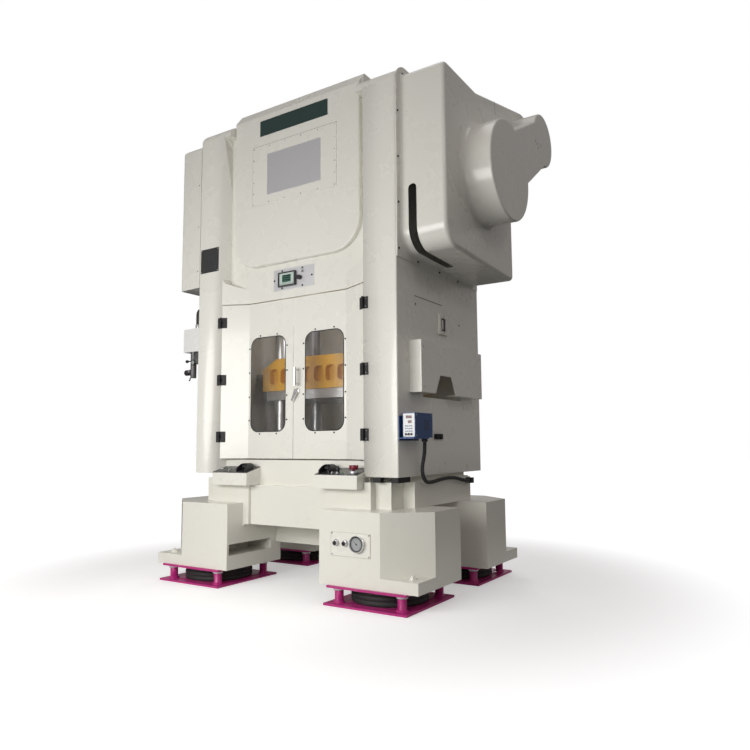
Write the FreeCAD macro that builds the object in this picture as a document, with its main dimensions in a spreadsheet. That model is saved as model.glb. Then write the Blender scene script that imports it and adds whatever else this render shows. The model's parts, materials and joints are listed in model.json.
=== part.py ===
import FreeCAD, Part
import Sketcher
import math
import os

V = FreeCAD.Vector

# A straight-sided mechanical stamping press. The origin is on the floor, in the middle of the
# four isolators. X runs to the right along the front, Y to the back and Z up; millimetres.

SIZES = [
    # frame
    ("frame_width", 1548, "over both uprights"),
    ("frame_depth", 1070, "front face to rear face of the uprights"),
    ("upright_width", 218, "one upright, seen from the front"),
    ("upright_bottom", 670, "underside of the uprights"),
    ("upright_top", 535, "top of the uprights above the crank axis"),
    ("crown_top", 460, "top of the crown between them, above that axis"),
    ("upright_rounding", 8, "radius on the uprights' outer corners"),
    ("brow_rounding", 62, "radius on the uprights' upper edges"),
    ("sheet", 4, "thickness of doors, covers and fascias"),
    # bed
    ("leg_step", 41, "bed body beyond the inner faces of the uprights"),
    ("beam_bottom", 366, "underside of the bed between its feet"),
    ("ledge_top", 604, "front ledge that carries the operator boxes"),
    ("recess_width", 600, "shallow recess in the bed's front"),
    ("recess_deep", 20, "depth of that recess"),
    ("arch_radius", 24, "haunch between bed and feet"),
    ("shelf_top", 640, "stepped shelves beside the bed body"),
    ("shelf_one_in", 74, "first step, in from the frame's side"),
    ("shelf_one_depth", 976, "first step, front to back"),
    ("shelf_two_depth", 722, "second step, front to back"),
    ("seat_inset", 30, "upright seat, in from the frame's side"),
    ("seat_depth", 660, "upright seat, front to back"),
    ("apron_setback", 60, "apron, behind the uprights' front"),
    ("apron_top", 756, "top of the bed between the uprights"),
    # feet
    ("foot_inner_in", 209, "a foot's inner wall, in from the upright's inner face"),
    ("foot_out", 185, "a foot's outer wall beyond the frame's side"),
    ("foot_front", 666, "centre line to a foot's front face"),
    ("foot_back", 180, "centre line to a foot's back face"),
    ("foot_top", 495, "top of the feet"),
    ("foot_slant_wide", 221, "how far in the slanted corner runs"),
    ("foot_slant", 186, "how far back the slanted corner runs"),
    ("lug_top", 165, "top of the flange in the slanted corner"),
    ("lug_hole", 14, "radius of the flange's bolt hole"),
    ("lug_hole_in", 70, "bolt hole, in from the flange's two edges"),
    ("fork_bottom", 187, "lifting slot in a foot's inner wall"),
    ("fork_tall", 66, "height of that slot"),
    ("fork_long", 375, "length of that slot"),
    ("fork_deep", 200, "depth of that slot"),
    ("fork_start", 16, "slot, behind the foot's front face"),
    ("tie_plate_bottom", 222, "underside of the plates that join the feet"),
    ("tie_plate_thick", 40, "thickness of those plates"),
    # isolators
    ("isolator_in", 309, "isolator centre, in from a foot's outer wall"),
    ("isolator_y", 428, "isolator centre from the middle, front to back"),
    ("isolator_wide", 514, "base plate, sideways"),
    ("isolator_deep", 528, "base plate, front to back"),
    ("isolator_plate", 12, "thickness of both isolator plates"),
    ("isolator_height", 103, "floor to the underside of the feet"),
    ("isolator_margin", 12, "upper plate, smaller all round"),
    ("isolator_post_radius", 24, "corner posts"),
    ("isolator_post_in", 62, "corner posts, in from the plate's edges"),
    ("rubber_radius", 205, "rubber body"),
    ("anchor_in", 17, "floor anchor hole, in from the plate's corner"),
    ("anchor_radius", 7, "floor anchor hole"),
    # feed windows in the uprights
    ("feed_bottom", 1115, "sill of the feed window"),
    ("feed_top", 1330, "head of the feed window"),
    ("feed_width", 500, "feed window at its sill"),
    ("feed_head", 400, "feed window at its head"),
    # tie rods
    ("rod_y", 300, "tie rod from the middle, front to back"),
    ("rod_radius", 32, "tie rod"),
    ("rod_bore_gap", 1, "room around a tie rod"),
    ("rod_foot", 540, "lower end of a tie rod"),
    ("rod_nut_radius", 62, "tie rod nut, over its corners"),
    ("rod_nut_tall", 48, "height of that nut"),
    ("rod_end", 24, "rod end above its nut"),
    # crown
    ("crown_bottom", 1790, "underside of the crown"),
    ("crown_floor", 70, "thickness of the crown's floor"),
    ("crown_side", 56, "thickness of the crown's side walls"),
    ("crown_wall", 100, "thickness of the crown's front and rear walls"),
    ("rib_thick", 40, "centre rib inside the crown"),
    # drive
    ("axis_height", 2440, "crankshaft axis"),
    ("shaft_radius", 80, "crankshaft journal"),
    ("bearing_radius", 120, "outside of a main bearing"),
    ("bearing_gap", 0.08, "running clearance of a journal"),
    ("fit_gap", 0.15, "gap round a bearing shell"),
    ("shaft_short", 29, "crankshaft's left end, inside the upright"),
    ("shaft_end", 13, "crankshaft's right end beyond the flywheel"),
    ("throw", 15, "half the stroke"),
    ("eccentric_radius", 110, "eccentric"),
    ("eccentric_wide", 120, "width of an eccentric"),
    ("big_end_gap", 31, "room round an eccentric in its rod"),
    ("big_end_wall", 34, "wall of a rod's big end"),
    ("rod_spacing", 500, "between the two connecting rods"),
    ("rod_thick", 96, "width of a connecting rod"),
    ("plunger_radius", 70, "guide plunger"),
    ("plunger_top", -290, "top of a plunger, from the crank axis"),
    ("flywheel_radius", 270, "flywheel rim"),
    ("flywheel_gap", 10, "flywheel beyond the cover's outer plane"),
    ("flywheel_wide", 141, "width of the flywheel"),
    ("motor_y", 615, "motor axis behind the middle"),
    ("motor_height", 420, "motor axis above the crank axis"),
    ("motor_radius", 132, "motor body"),
    ("motor_long", 250, "motor body"),
    ("motor_plate", 12, "motor's mounting plate"),
    ("motor_shaft", 24, "radius of the motor's shaft"),
    ("belt_hub", 130, "part of the flywheel that carries the belts"),
    ("rim_wide", 40, "width of the flywheel's rim"),
    ("pulley_radius", 48, "motor pulley"),
    ("belt_thick", 12, "drive belts"),
    ("belt_wide", 17, "one belt"),
    ("belt_pitch", 22, "belt to belt"),
    ("belt_gap", 0.4, "belts to their pulleys"),
    # slide
    ("slide_bottom", 1200, "underside of the slide"),
    ("slide_tall", 210, "height of the slide"),
    ("slide_gap", 136, "room between the slide and an upright"),
    ("slide_depth", 570, "slide, front to back"),
    ("slide_shoulder", 65, "drop of the slide's sloping ends"),
    ("slide_slope", 120, "length of those sloping ends"),
    ("slide_rail", 44, "rail under the pockets"),
    ("slide_head", 40, "rail over the pockets"),
    ("pocket_deep", 40, "depth of the slide's pockets"),
    ("pocket_wide", 74, "width of one pocket"),
    ("pocket_pitch", 92, "pocket to pocket"),
    ("pocket_rounding", 26, "radius of a pocket's corners"),
    ("ram_plate_tall", 60, "plate under the slide"),
    ("ram_plate_margin", 20, "that plate, smaller all round"),
    ("post_radius", 40, "guide post"),
    ("post_in", 80, "guide post, in from the slide's end"),
    ("post_y", 190, "guide post from the middle, front to back"),
    ("bolster_tall", 124, "bolster plate"),
    ("bolster_gap", 76, "room between the bolster and an upright"),
    ("bolster_depth", 600, "bolster plate, front to back"),
    ("slot_neck", 22, "T-slot, upper width"),
    ("slot_foot", 38, "T-slot, lower width"),
    ("slot_neck_tall", 26, "T-slot, upper part"),
    ("slot_foot_tall", 16, "T-slot, lower part"),
    ("slot_pitch", 150, "T-slot to T-slot"),
    ("bolster_hole", 320, "drop opening in the bolster, left to right"),
    ("bolster_hole_deep", 140, "drop opening, front to back"),
    # fascia and doors
    ("bay_setback", 78, "doors' flat middle, behind the uprights' front"),
    ("fold_in", 173, "where the doors fold, from the uprights"),
    ("door_bottom", 764, "underside of the doors"),
    ("door_top", 1754, "top of the doors"),
    ("door_split", -15, "where the two leaves meet"),
    ("door_gap", 3, "between leaves, and beside an upright"),
    ("door_head_gap", 6, "between the doors and the fascia"),
    ("fascia_step", 1855, "where the slanted cheeks end"),
    ("lip_tall", 80, "moulded lip at the foot of the recess beside the hood"),
    ("cap_tall", 72, "cap over that recess"),
    ("cap_gap", 0.5, "cap to the hood"),
    ("window_inner", 78.5, "inner edge of the window openings, from the middle"),
    ("window_fold_gap", 19.5, "window openings, from the doors' folds"),
    ("window_bottom", 931, "window opening"),
    ("window_tall", 597, "window opening"),
    ("window_rounding", 58, "window corner radius"),
    ("pane_margin", 22, "pane beyond its opening"),
    ("pane_thick", 5, "clear pane"),
    ("screw_out", 13, "screw ring outside the opening"),
    ("screw_radius", 5, "screw head"),
    ("screw_tall", 3, "screw head"),
    ("hinge_low", 901, "lowest hinge"),
    ("hinge_mid", 1266, "middle hinge"),
    ("hinge_high", 1640, "highest hinge"),
    ("hinge_tall", 68, "hinge"),
    ("hinge_leaf", 31, "width of one hinge leaf"),
    ("hinge_thick", 3.5, "hinge leaf"),
    ("knuckle_radius", 7, "hinge knuckle"),
    ("knuckle_out", 11, "pin axis in front of the uprights"),
    ("pin_radius", 3.5, "hinge pin"),
    ("pin_gap", 0.08, "running clearance of a hinge pin"),
    ("knuckle_gap", 0.5, "between knuckles"),
    ("handle_x", 27, "door handle"),
    ("handle_bottom", 1205, "door handle"),
    ("handle_tall", 110, "door handle"),
    ("handle_out", 38, "grip in front of the door"),
    ("handle_radius", 9, "grip"),
    ("handle_foot", 6, "handle standoff radius"),
    ("latch_height", 1172, "latch axis"),
    ("latch_x", 22, "latch axis"),
    ("latch_radius", 17, "latch rose"),
    ("latch_out", 14, "latch rose"),
    ("latch_lever", 62, "length of the latch lever"),
    ("latch_thick", 8, "latch lever"),
    # crown hood
    ("hood_gap", 54, "between the hood and an upright"),
    ("hood_bottom", 1985, "underside of the hood"),
    ("hood_out", 33, "hood in front of the fascia"),
    ("hood_shoulder", 550, "where the hood's front slants back, above the crank axis"),
    ("hood_top", 628, "roof of the hood above the crank axis"),
    ("hood_slant", 59, "depth of the slanted part"),
    ("hood_corner", 195, "lower corner radius of the hood"),
    ("hood_rounding", 12, "radius of the hood's front edges"),
    ("inspect_in", 164, "inspection cover, in from the hood's side"),
    ("inspect_bottom", -55, "inspection cover, from the crank axis"),
    ("inspect_top", 345, "inspection cover, from the crank axis"),
    ("inspect_thick", 3, "inspection cover"),
    # side covers
    ("cover_out", 287, "flywheel cover beyond its upright"),
    ("cover_set", 48, "flywheel cover behind the uprights' front"),
    ("cover_top", 515, "front roof of the flywheel cover above the crank axis"),
    ("cover_knee", -54, "where that roof starts to rise"),
    ("cover_peak", 712, "roof over the motor above the crank axis"),
    ("cover_peak_y", 716, "where the roof is level again"),
    ("cover_back", 886, "rear wall over the motor"),
    ("cover_back_low", 331, "lower end of that wall above the crank axis"),
    ("cover_waist", 476, "rear wall below the motor"),
    ("cover_waist_top", -61, "upper end of that wall, from the crank axis"),
    ("cover_bottom", -517, "front of the cover's floor, from the crank axis"),
    ("cover_bottom_back", -544, "rear of the cover's floor, from the crank axis"),
    ("cover_curve", 131, "radius of the front lower curve"),
    ("cover_edge", 24, "radius of the cover's outer edges"),
    ("cover_brow", 45, "radius of its front roof edge"),
    ("rim_thick", 6, "rim of the cover against the upright"),
    ("rim_in", 3, "rim behind the upright's front"),
    ("rim_top", 570, "top of the rim above the crank axis"),
    ("rim_bottom", -562, "bottom of the rim, from the crank axis"),
    ("rim_corner", 110, "upper front corner of the rim"),
    ("rim_blend", 18, "radius between the rim and the shell"),
    ("guard_out", 184, "belt guard beyond the cover"),
    ("guard_radius", 298, "belt guard round the flywheel"),
    ("guard_small", 175, "belt guard round the motor pulley"),
    ("guard_flare", 36, "flare where the guard meets the cover"),
    ("guard_edge", 12, "radius of the belt guard's outer edges"),
    ("sight_out", 54, "barring slot beyond the upright"),
    ("sight_wide", 52, "width of the barring slot"),
    ("sight_top", -180, "top of the barring slot, from the crank axis"),
    ("sight_back", -17, "rear end of the barring slot"),
    ("left_cover_out", 192, "left cover beyond its upright"),
    ("left_cover_bottom", 1905, "left cover"),
    ("left_cover_top", 460, "left cover, above the crank axis"),
    ("left_cover_back", 300, "rear face of the left cover"),
    ("left_cover_rounding", 32, "left cover's outer corners"),
    ("left_cover_edge", 30, "left cover's upper edge"),
    ("feed_guard_out", 76, "feed guard beyond its upright"),
    ("feed_guard_depth", 806, "feed guard, front to back"),
    ("feed_guard_bottom", 1133, "feed guard"),
    ("feed_guard_top", 1424, "feed guard"),
    ("feed_arch_shift", -108, "arch centre from the middle"),
    ("feed_arch_foot", 257, "arch width at its foot"),
    ("feed_arch_head", 142, "arch width at its head"),
    ("feed_arch_top", 1240, "head of the arch"),
    # operator boxes
    ("console_wide", 290, "operator box, left to right"),
    ("console_gap", 6, "between an operator box and the upright"),
    ("console_front", 63, "operator box in front of the uprights"),
    ("console_tall", 75, "operator box at its front"),
    ("console_rise", 32, "operator box, higher at its back"),
    ("console_top_plate", 4, "top plate of an operator box"),
    ("button_radius", 20, "palm button"),
    ("button_tall", 16, "palm button"),
    ("button_travel", 6, "travel of a palm button"),
    ("button_in", 58, "palm button from the box's inner end"),
    ("button_back", 52, "palm button from the box's front"),
    ("stop_radius", 26, "stop button"),
    ("stop_in", 56, "stop button from the right box's outer end"),
    ("selector_in", 125, "selector from the right box's inner end"),
    ("selector_radius", 11, "selector"),
    ("stem_radius", 8, "button stems"),
    ("stem_gap", 0.4, "room round a button stem"),
    ("guard_high", 40, "hood over a palm button"),
    ("guard_wide", 74, "hood over a palm button"),
    ("guard_thick", 5, "hood over a palm button"),
    ("guard_rounding", 26, "upper corners of that hood"),
    # display
    ("display_x", -16, "display plate centre"),
    ("display_wide", 321, "display plate"),
    ("display_bottom", 1814, "display plate"),
    ("display_tall", 133, "display plate"),
    ("unit_wide", 138, "controller"),
    ("unit_tall", 92, "controller"),
    ("unit_left", -129, "left edge of the controller"),
    ("unit_bottom", 1832, "lower edge of the controller"),
    ("unit_out", 16, "controller in front of its plate"),
    ("unit_rim", 9, "controller rim"),
    ("knob_x", 37, "display knob"),
    ("knob_height", 1876, "display knob"),
    ("knob_radius", 14, "display knob"),
    ("knob_out", 22, "display knob"),
    # right side fittings
    ("monitor_gap", 16, "monitor beyond its upright"),
    ("monitor_wide", 78, "monitor"),
    ("monitor_front", 511, "monitor front, before the middle"),
    ("monitor_deep", 195, "monitor"),
    ("monitor_bottom", 882, "monitor"),
    ("monitor_tall", 133, "monitor"),
    ("bracket_thick", 4, "monitor bracket"),
    ("bracket_drop", 16, "monitor bracket below the monitor"),
    ("bracket_lead", 18, "monitor bracket in front of the monitor"),
    ("bracket_shelf", 6, "shelf under the monitor"),
    ("bracket_shelf_deep", 168, "shelf under the monitor"),
    ("gland_radius", 17, "conduit gland"),
    ("conduit_radius", 11, "conduit"),
    ("gauge_glass_wide", 105, "oil sight glass"),
    ("gauge_glass_bottom", 1507, "oil sight glass"),
    ("gauge_glass_tall", 121, "oil sight glass"),
    ("gauge_glass_out", 14, "oil sight glass"),
    ("gauge_glass_rim", 20, "frame round the sight glass"),
    # left side air unit
    ("air_box_wide", 148, "air box beyond the left upright"),
    ("air_box_front", 5, "air box behind the uprights' front"),
    ("air_box_gap", 3, "air box in front of the feed guard"),
    ("air_box_bottom", 1475, "air box"),
    ("air_box_tall", 157, "air box"),
    ("valve_out", 72, "regulator axis beyond the left upright"),
    ("valve_y", 30, "regulator axis behind the uprights' front"),
    ("valve_radius", 20, "regulator body"),
    ("valve_long", 175, "regulator body"),
    ("dial_knob_down", 137, "regulator knob below the air box"),
    ("dial_knob_radius", 19, "regulator knob"),
    ("dial_knob_long", 50, "regulator knob"),
    ("hose_radius", 15, "air hose"),
    ("hose_back", 60, "air hose behind the air box's front"),
    ("hose_tall", 136, "air hose over the air box"),
    ("hose_fitting_tall", 36, "fitting on the air box"),
    # service panel on the right front foot
    ("service_in", 207, "service panel centre, out from the foot's inner wall"),
    ("service_wide", 254, "service panel"),
    ("service_bottom", 258, "service panel"),
    ("service_tall", 128, "service panel"),
    ("service_thick", 3, "service panel"),
    ("dial_in", 257, "pressure gauge, out from the foot's inner wall"),
    ("dial_height", 330, "pressure gauge"),
    ("dial_radius", 44, "pressure gauge"),
    ("dial_out", 16, "pressure gauge"),
]


class Size:
    """A size with the formula text that binds it and the number it has now."""

    def __init__(self, text, number):
        self.text = text
        self.number = number

    def joined(self, sign, other, number):
        other = as_size(other)
        return Size("(%s %s %s)" % (self.text, sign, other.text), number(self.number, other.number))

    def __add__(self, other):
        return self.joined("+", other, lambda a, b: a + b)

    def __radd__(self, other):
        return as_size(other) + self

    def __sub__(self, other):
        return self.joined("-", other, lambda a, b: a - b)

    def __rsub__(self, other):
        return as_size(other) - self

    def __mul__(self, other):
        return self.joined("*", other, lambda a, b: a * b)

    def __rmul__(self, other):
        return as_size(other) * self

    def __truediv__(self, other):
        return self.joined("/", other, lambda a, b: a / b)

    def __neg__(self):
        return Size("(0 - %s)" % self.text, -self.number)


def as_size(value):
    if isinstance(value, Size):
        return value
    return Size("(%r)" % float(value), float(value))


class Sizes:
    """Gives each named size of the sheet as a Size, so that s.sheet is its cell."""

    def __init__(self, sheet):
        self.sheet_object = sheet

    def __getattr__(self, name):
        return Size("sizes." + name, float(self.sheet_object.get(name)))


doc = FreeCAD.newDocument("stamping_press")
size_sheet = doc.addObject("Spreadsheet::Sheet", "sizes")
for row, (alias, number, note) in enumerate(SIZES, start=1):
    size_sheet.set("A%d" % row, alias)
    size_sheet.set("B%d" % row, str(number))
    size_sheet.set("C%d" % row, note)
    size_sheet.setAlias("B%d" % row, alias)
doc.recompute()
s = Sizes(size_sheet)

# Places that follow from the frame's width.
SIDE = s.frame_width / 2
BAY = SIDE - s.upright_width
ROD_X = SIDE - s.upright_width / 2
LEG = BAY + s.leg_step
SHELF_ONE = SIDE - s.shelf_one_in
FOOT_INNER = BAY - s.foot_inner_in
FOOT_OUTER = SIDE + s.foot_out
ISOLATOR_X = FOOT_OUTER - s.isolator_in
SLIDE_END = BAY - s.slide_gap
POST_X = SLIDE_END - s.post_in
BOLSTER_END = BAY - s.bolster_gap
FOLD = BAY - s.fold_in
HOOD_END = BAY - s.hood_gap
COVER_RIGHT = SIDE + s.cover_out
FLYWHEEL_LEFT = COVER_RIGHT + s.flywheel_gap
CONSOLE_OUTER = BAY - s.console_gap
CONSOLE_INNER = CONSOLE_OUTER - s.console_wide
AIR_TOP = s.air_box_bottom + s.air_box_tall
AIR_FRONT = s.frame_depth / 2 - s.air_box_front
VALVE_Y = s.frame_depth / 2 - s.valve_y

# Heights that follow the crankshaft axis.
UPRIGHT_TOP = s.axis_height + s.upright_top
CROWN_TOP = s.axis_height + s.crown_top
PLUNGER_TOP = s.axis_height + s.plunger_top
MOTOR_HEIGHT = s.axis_height + s.motor_height
HOOD_SHOULDER = s.axis_height + s.hood_shoulder
HOOD_TOP = s.axis_height + s.hood_top
INSPECT_BOTTOM = s.axis_height + s.inspect_bottom
INSPECT_TOP = s.axis_height + s.inspect_top
COVER_TOP = s.axis_height + s.cover_top
COVER_PEAK = s.axis_height + s.cover_peak
COVER_BACK_LOW = s.axis_height + s.cover_back_low
COVER_WAIST_TOP = s.axis_height + s.cover_waist_top
COVER_BOTTOM = s.axis_height + s.cover_bottom
COVER_BOTTOM_BACK = s.axis_height + s.cover_bottom_back
RIM_TOP = s.axis_height + s.rim_top
RIM_BOTTOM = s.axis_height + s.rim_bottom
SIGHT_TOP = s.axis_height + s.sight_top
LEFT_COVER_TOP = s.axis_height + s.left_cover_top
VALVE_X = SIDE + s.valve_out

pieces = {}


def keep(name, thing):
    """Names a finished piece, which is then written under that name."""
    thing.Label = name
    pieces[name] = thing
    return thing


def bind(thing, path, value):
    value = as_size(value)
    thing.setExpression(path, value.text)


# ---------------------------------------------------------------- sketched bodies

PLANES = {"top": ("XY_Plane", 1), "front": ("XZ_Plane", -1), "side": ("YZ_Plane", 1)}


def box_loop(u0, v0, u1, v1):
    return [(u0, v0), (u1, v0), (u1, v1), (u0, v1)]


def round_loop(u, v, radius):
    return ("circle", u, v, radius)


def mirrored(points, u=1, v=1):
    return [(a * u, b * v) for a, b in points]


def pin_point(sketch, line, u, v):
    """Holds the start of a line at a distance from the sketch's origin."""
    for kind, axis, value in (("DistanceX", -2, as_size(u)), ("DistanceY", -1, as_size(v))):
        if value.number == 0:
            sketch.addConstraint(Sketcher.Constraint("PointOnObject", line, 1, axis))
            continue
        index = sketch.addConstraint(Sketcher.Constraint(kind, -1, 1, line, 1, value.number))
        sketch.setExpression("Constraints[%d]" % index, value.text)


def draw_polygon(sketch, points):
    first = sketch.GeometryCount
    count = len(points)
    spots = [V(as_size(u).number, as_size(v).number, 0) for u, v in points]
    for i in range(count):
        sketch.addGeometry(Part.LineSegment(spots[i], spots[(i + 1) % count]), False)
    for i in range(count):
        sketch.addConstraint(Sketcher.Constraint("Coincident", first + i, 2, first + (i + 1) % count, 1))
    for i, (u, v) in enumerate(points):
        pin_point(sketch, first + i, u, v)


def draw_circle(sketch, u, v, radius):
    u, v, radius = as_size(u), as_size(v), as_size(radius)
    line = sketch.addGeometry(Part.Circle(V(u.number, v.number, 0), V(0, 0, 1), radius.number), False)
    for kind, axis, value in (("DistanceX", -2, u), ("DistanceY", -1, v)):
        if value.number == 0:
            sketch.addConstraint(Sketcher.Constraint("PointOnObject", line, 3, axis))
            continue
        index = sketch.addConstraint(Sketcher.Constraint(kind, -1, 1, line, 3, value.number))
        sketch.setExpression("Constraints[%d]" % index, value.text)
    index = sketch.addConstraint(Sketcher.Constraint("Radius", line, radius.number))
    sketch.setExpression("Constraints[%d]" % index, radius.text)


def plain_body(name):
    return doc.addObject("PartDesign::Body", name)


def new_body(name):
    return keep(name, plain_body(name))


def add_sketch(body, plane, level, loops):
    role, sign = PLANES[plane]
    support = [f for f in body.Origin.OriginFeatures if f.Role == role][0]
    sketch = body.newObject("Sketcher::SketchObject", body.Name + "_sketch")
    sketch.AttachmentSupport = [(support, "")]
    sketch.MapMode = "FlatFace"
    bind(sketch, "AttachmentOffset.Base.z", as_size(level) * sign)
    for loop in loops:
        if loop[0] == "circle":
            draw_circle(sketch, *loop[1:])
        else:
            draw_polygon(sketch, loop)
    return sketch


def pad(body, plane, low, high, *loops):
    """Adds a prism between two levels of the plane's axis."""
    start = high if plane == "front" else low
    feature = body.newObject("PartDesign::Pad", body.Name + "_pad")
    feature.Profile = add_sketch(body, plane, start, loops)
    bind(feature, "Length", as_size(high) - low)
    body.Tip = feature
    doc.recompute()
    return feature


def pocket(body, plane, low, high, *loops):
    """Cuts a prism between two levels of the plane's axis."""
    start = low if plane == "front" else high
    before = body.Shape.Volume
    feature = body.newObject("PartDesign::Pocket", body.Name + "_pocket")
    feature.Profile = add_sketch(body, plane, start, loops)
    bind(feature, "Length", as_size(high) - low)
    body.Tip = feature
    doc.recompute()
    if body.Shape.Volume > before - 1e-3:
        raise RuntimeError("a pocket of %s cuts nothing" % body.Label)
    return feature


AXES = {"x": V(1, 0, 0), "y": V(0, 1, 0), "z": V(0, 0, 1)}


def straight_edges(shape, axis, *places):
    """Names the straight edges along an axis whose other two coordinates are given."""
    names = []
    for number, edge in enumerate(shape.Edges, start=1):
        if not isinstance(edge.Curve, Part.Line):
            continue
        if abs(abs(edge.tangentAt(edge.FirstParameter).dot(AXES[axis])) - 1) > 1e-6:
            continue
        middle = edge.CenterOfMass
        spot = {"x": (middle.y, middle.z), "y": (middle.x, middle.z), "z": (middle.x, middle.y)}[axis]
        for place in places:
            wanted = [as_size(value).number for value in place]
            if abs(spot[0] - wanted[0]) < 0.01 and abs(spot[1] - wanted[1]) < 0.01:
                names.append("Edge%d" % number)
    return names


def edges_on(shape, axis, level):
    """Names every edge that lies in the plane at a level of an axis."""
    names = []
    index = "xyz".index(axis)
    for number, edge in enumerate(shape.Edges, start=1):
        box = edge.BoundBox
        low = (box.XMin, box.YMin, box.ZMin)[index]
        high = (box.XMax, box.YMax, box.ZMax)[index]
        if abs(low - level) < 0.01 and abs(high - level) < 0.01:
            names.append("Edge%d" % number)
    return names


def fillet(body, radius, names):
    if not names:
        raise RuntimeError("no edge to round on %s" % body.Label)
    base = body.Tip
    feature = body.newObject("PartDesign::Fillet", body.Name + "_fillet")
    feature.Base = (base, names)
    bind(feature, "Radius", radius)
    body.Tip = feature
    doc.recompute()
    return feature


# ---------------------------------------------------------------- plain solids


def place(thing, x, y, z):
    for path, value in (("x", x), ("y", y), ("z", z)):
        bind(thing, "Placement.Base." + path, value)


def block(name, x0, y0, z0, x1, y1, z1):
    thing = doc.addObject("Part::Box", name)
    bind(thing, "Length", as_size(x1) - x0)
    bind(thing, "Width", as_size(y1) - y0)
    bind(thing, "Height", as_size(z1) - z0)
    place(thing, x0, y0, z0)
    return thing


TURNS = {"x": FreeCAD.Rotation(V(0, 1, 0), 90), "y": FreeCAD.Rotation(V(1, 0, 0), -90),
         "z": FreeCAD.Rotation()}


def rod(name, axis, radius, x, y, z, length):
    """A cylinder that starts at a point and runs along an axis."""
    thing = doc.addObject("Part::Cylinder", name)
    bind(thing, "Radius", radius)
    bind(thing, "Height", length)
    thing.Placement = FreeCAD.Placement(V(), TURNS[axis])
    place(thing, x, y, z)
    return thing


def fused(name, *things):
    whole = doc.addObject("Part::MultiFuse", name)
    whole.Shapes = list(things)
    return whole


def cut(name, base, *tools):
    tool = tools[0] if len(tools) == 1 else fused(name + "_tools", *tools)
    whole = doc.addObject("Part::Cut", name)
    whole.Base = base
    whole.Tool = tool
    return whole


def group(name, *things):
    """Several like solids that share one name."""
    whole = doc.addObject("Part::Compound", name)
    whole.Links = list(things)
    return keep(name, whole)


SIDES = (-1, 1)
CORNERS = [(x, y) for x in SIDES for y in SIDES]


# ---------------------------------------------------------------- frame


def bed_box():
    """The middle of the bed: a cross between the feet, a slab over them and the apron on top."""
    half_width = LEG
    half_depth = s.frame_depth / 2
    bay = BAY
    box = plain_body("bed_box")
    cross = [(FOOT_INNER, half_depth), (FOOT_INNER, s.foot_back), (half_width, s.foot_back)]
    back = list(reversed(cross))
    outline = cross + mirrored(back, v=-1) + mirrored(cross, u=-1, v=-1) + mirrored(back, u=-1)
    pad(box, "top", s.beam_bottom, s.foot_top, outline)
    pad(box, "top", s.foot_top, s.ledge_top, box_loop(-half_width, -half_depth, half_width, half_depth))
    apron = half_depth - s.apron_setback
    pad(box, "top", s.ledge_top, s.apron_top, box_loop(-bay, -apron, bay, apron))
    recess = box_loop(-s.recess_width / 2, half_depth - s.recess_deep, s.recess_width / 2, half_depth)
    pocket(box, "top", s.beam_bottom, s.ledge_top, recess, mirrored(recess, v=-1))
    return box


def bed_shelf(side):
    """Stepped shelves beside the box, with the upright's seat and the tie rods' bores."""
    half_width = LEG
    bay = BAY
    one, two = s.shelf_one_depth / 2, s.shelf_two_depth / 2
    shelf = plain_body("bed_shelf")
    step = [(half_width, one), (SHELF_ONE, one), (SHELF_ONE, two),
            (SIDE, two)]
    outline = mirrored(step, v=-1) + list(reversed(step))
    pad(shelf, "top", s.foot_top, s.ledge_top, mirrored(outline, u=side))
    half_depth = s.frame_depth / 2
    front = [(bay, half_depth), (half_width, half_depth)]
    upper = mirrored(front, v=-1) + outline + list(reversed(front))
    pad(shelf, "top", s.ledge_top, s.shelf_top, mirrored(upper, u=side))
    seat = box_loop(bay, -s.seat_depth / 2, SIDE - s.seat_inset, s.seat_depth / 2)
    pad(shelf, "top", s.shelf_top, s.upright_bottom, mirrored(seat, u=side))
    bores = [round_loop(ROD_X * side, s.rod_y * y, s.rod_radius + s.rod_bore_gap) for y in SIDES]
    pocket(shelf, "top", s.rod_foot, s.upright_bottom, *bores)
    return shelf


def bed_foot(x, y):
    """A foot with a slanted outer corner over a bolted flange, and a lifting slot in its inner wall."""
    outline = [(FOOT_INNER, s.foot_front), (FOOT_OUTER - s.foot_slant_wide, s.foot_front),
               (FOOT_OUTER, s.foot_front - s.foot_slant), (FOOT_OUTER, s.foot_back),
               (FOOT_INNER, s.foot_back)]
    foot = plain_body("bed_foot")
    pad(foot, "top", s.lug_top, s.foot_top, mirrored(outline, u=x, v=y))
    pad(foot, "top", s.isolator_height, s.lug_top,
        mirrored(box_loop(FOOT_INNER, s.foot_back, FOOT_OUTER, s.foot_front), u=x, v=y))
    hole = round_loop((FOOT_OUTER - s.lug_hole_in) * x, (s.foot_front - s.lug_hole_in) * y, s.lug_hole)
    pocket(foot, "top", s.isolator_height, s.lug_top, hole)
    slot_front = s.foot_front - s.fork_start
    slot = box_loop(slot_front - s.fork_long, s.fork_bottom, slot_front, s.fork_bottom + s.fork_tall)
    deep_end = FOOT_INNER + s.fork_deep
    near, far = (FOOT_INNER, deep_end) if x > 0 else (-deep_end, -FOOT_INNER)
    pocket(foot, "side", near, far, mirrored(slot, u=y))
    return foot


def haunch(x, y):
    """The weld between a foot and the underside of the box: a bar with one hollow side."""
    reach = s.arch_radius
    inset = FOOT_INNER - reach
    near, far = (inset, FOOT_INNER) if x > 0 else (-FOOT_INNER, -inset)
    low, high = s.foot_back + s.tie_plate_thick, s.frame_depth / 2
    start, end = (low, high) if y > 0 else (-high, -low)
    bar = block("haunch_bar", near, start, s.beam_bottom - reach, far, end, s.beam_bottom)
    hollow = rod("haunch_hollow", "y", reach, inset * x, start - 1, s.beam_bottom - reach, end - start + 2)
    return cut("haunch", bar, hollow)


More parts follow.
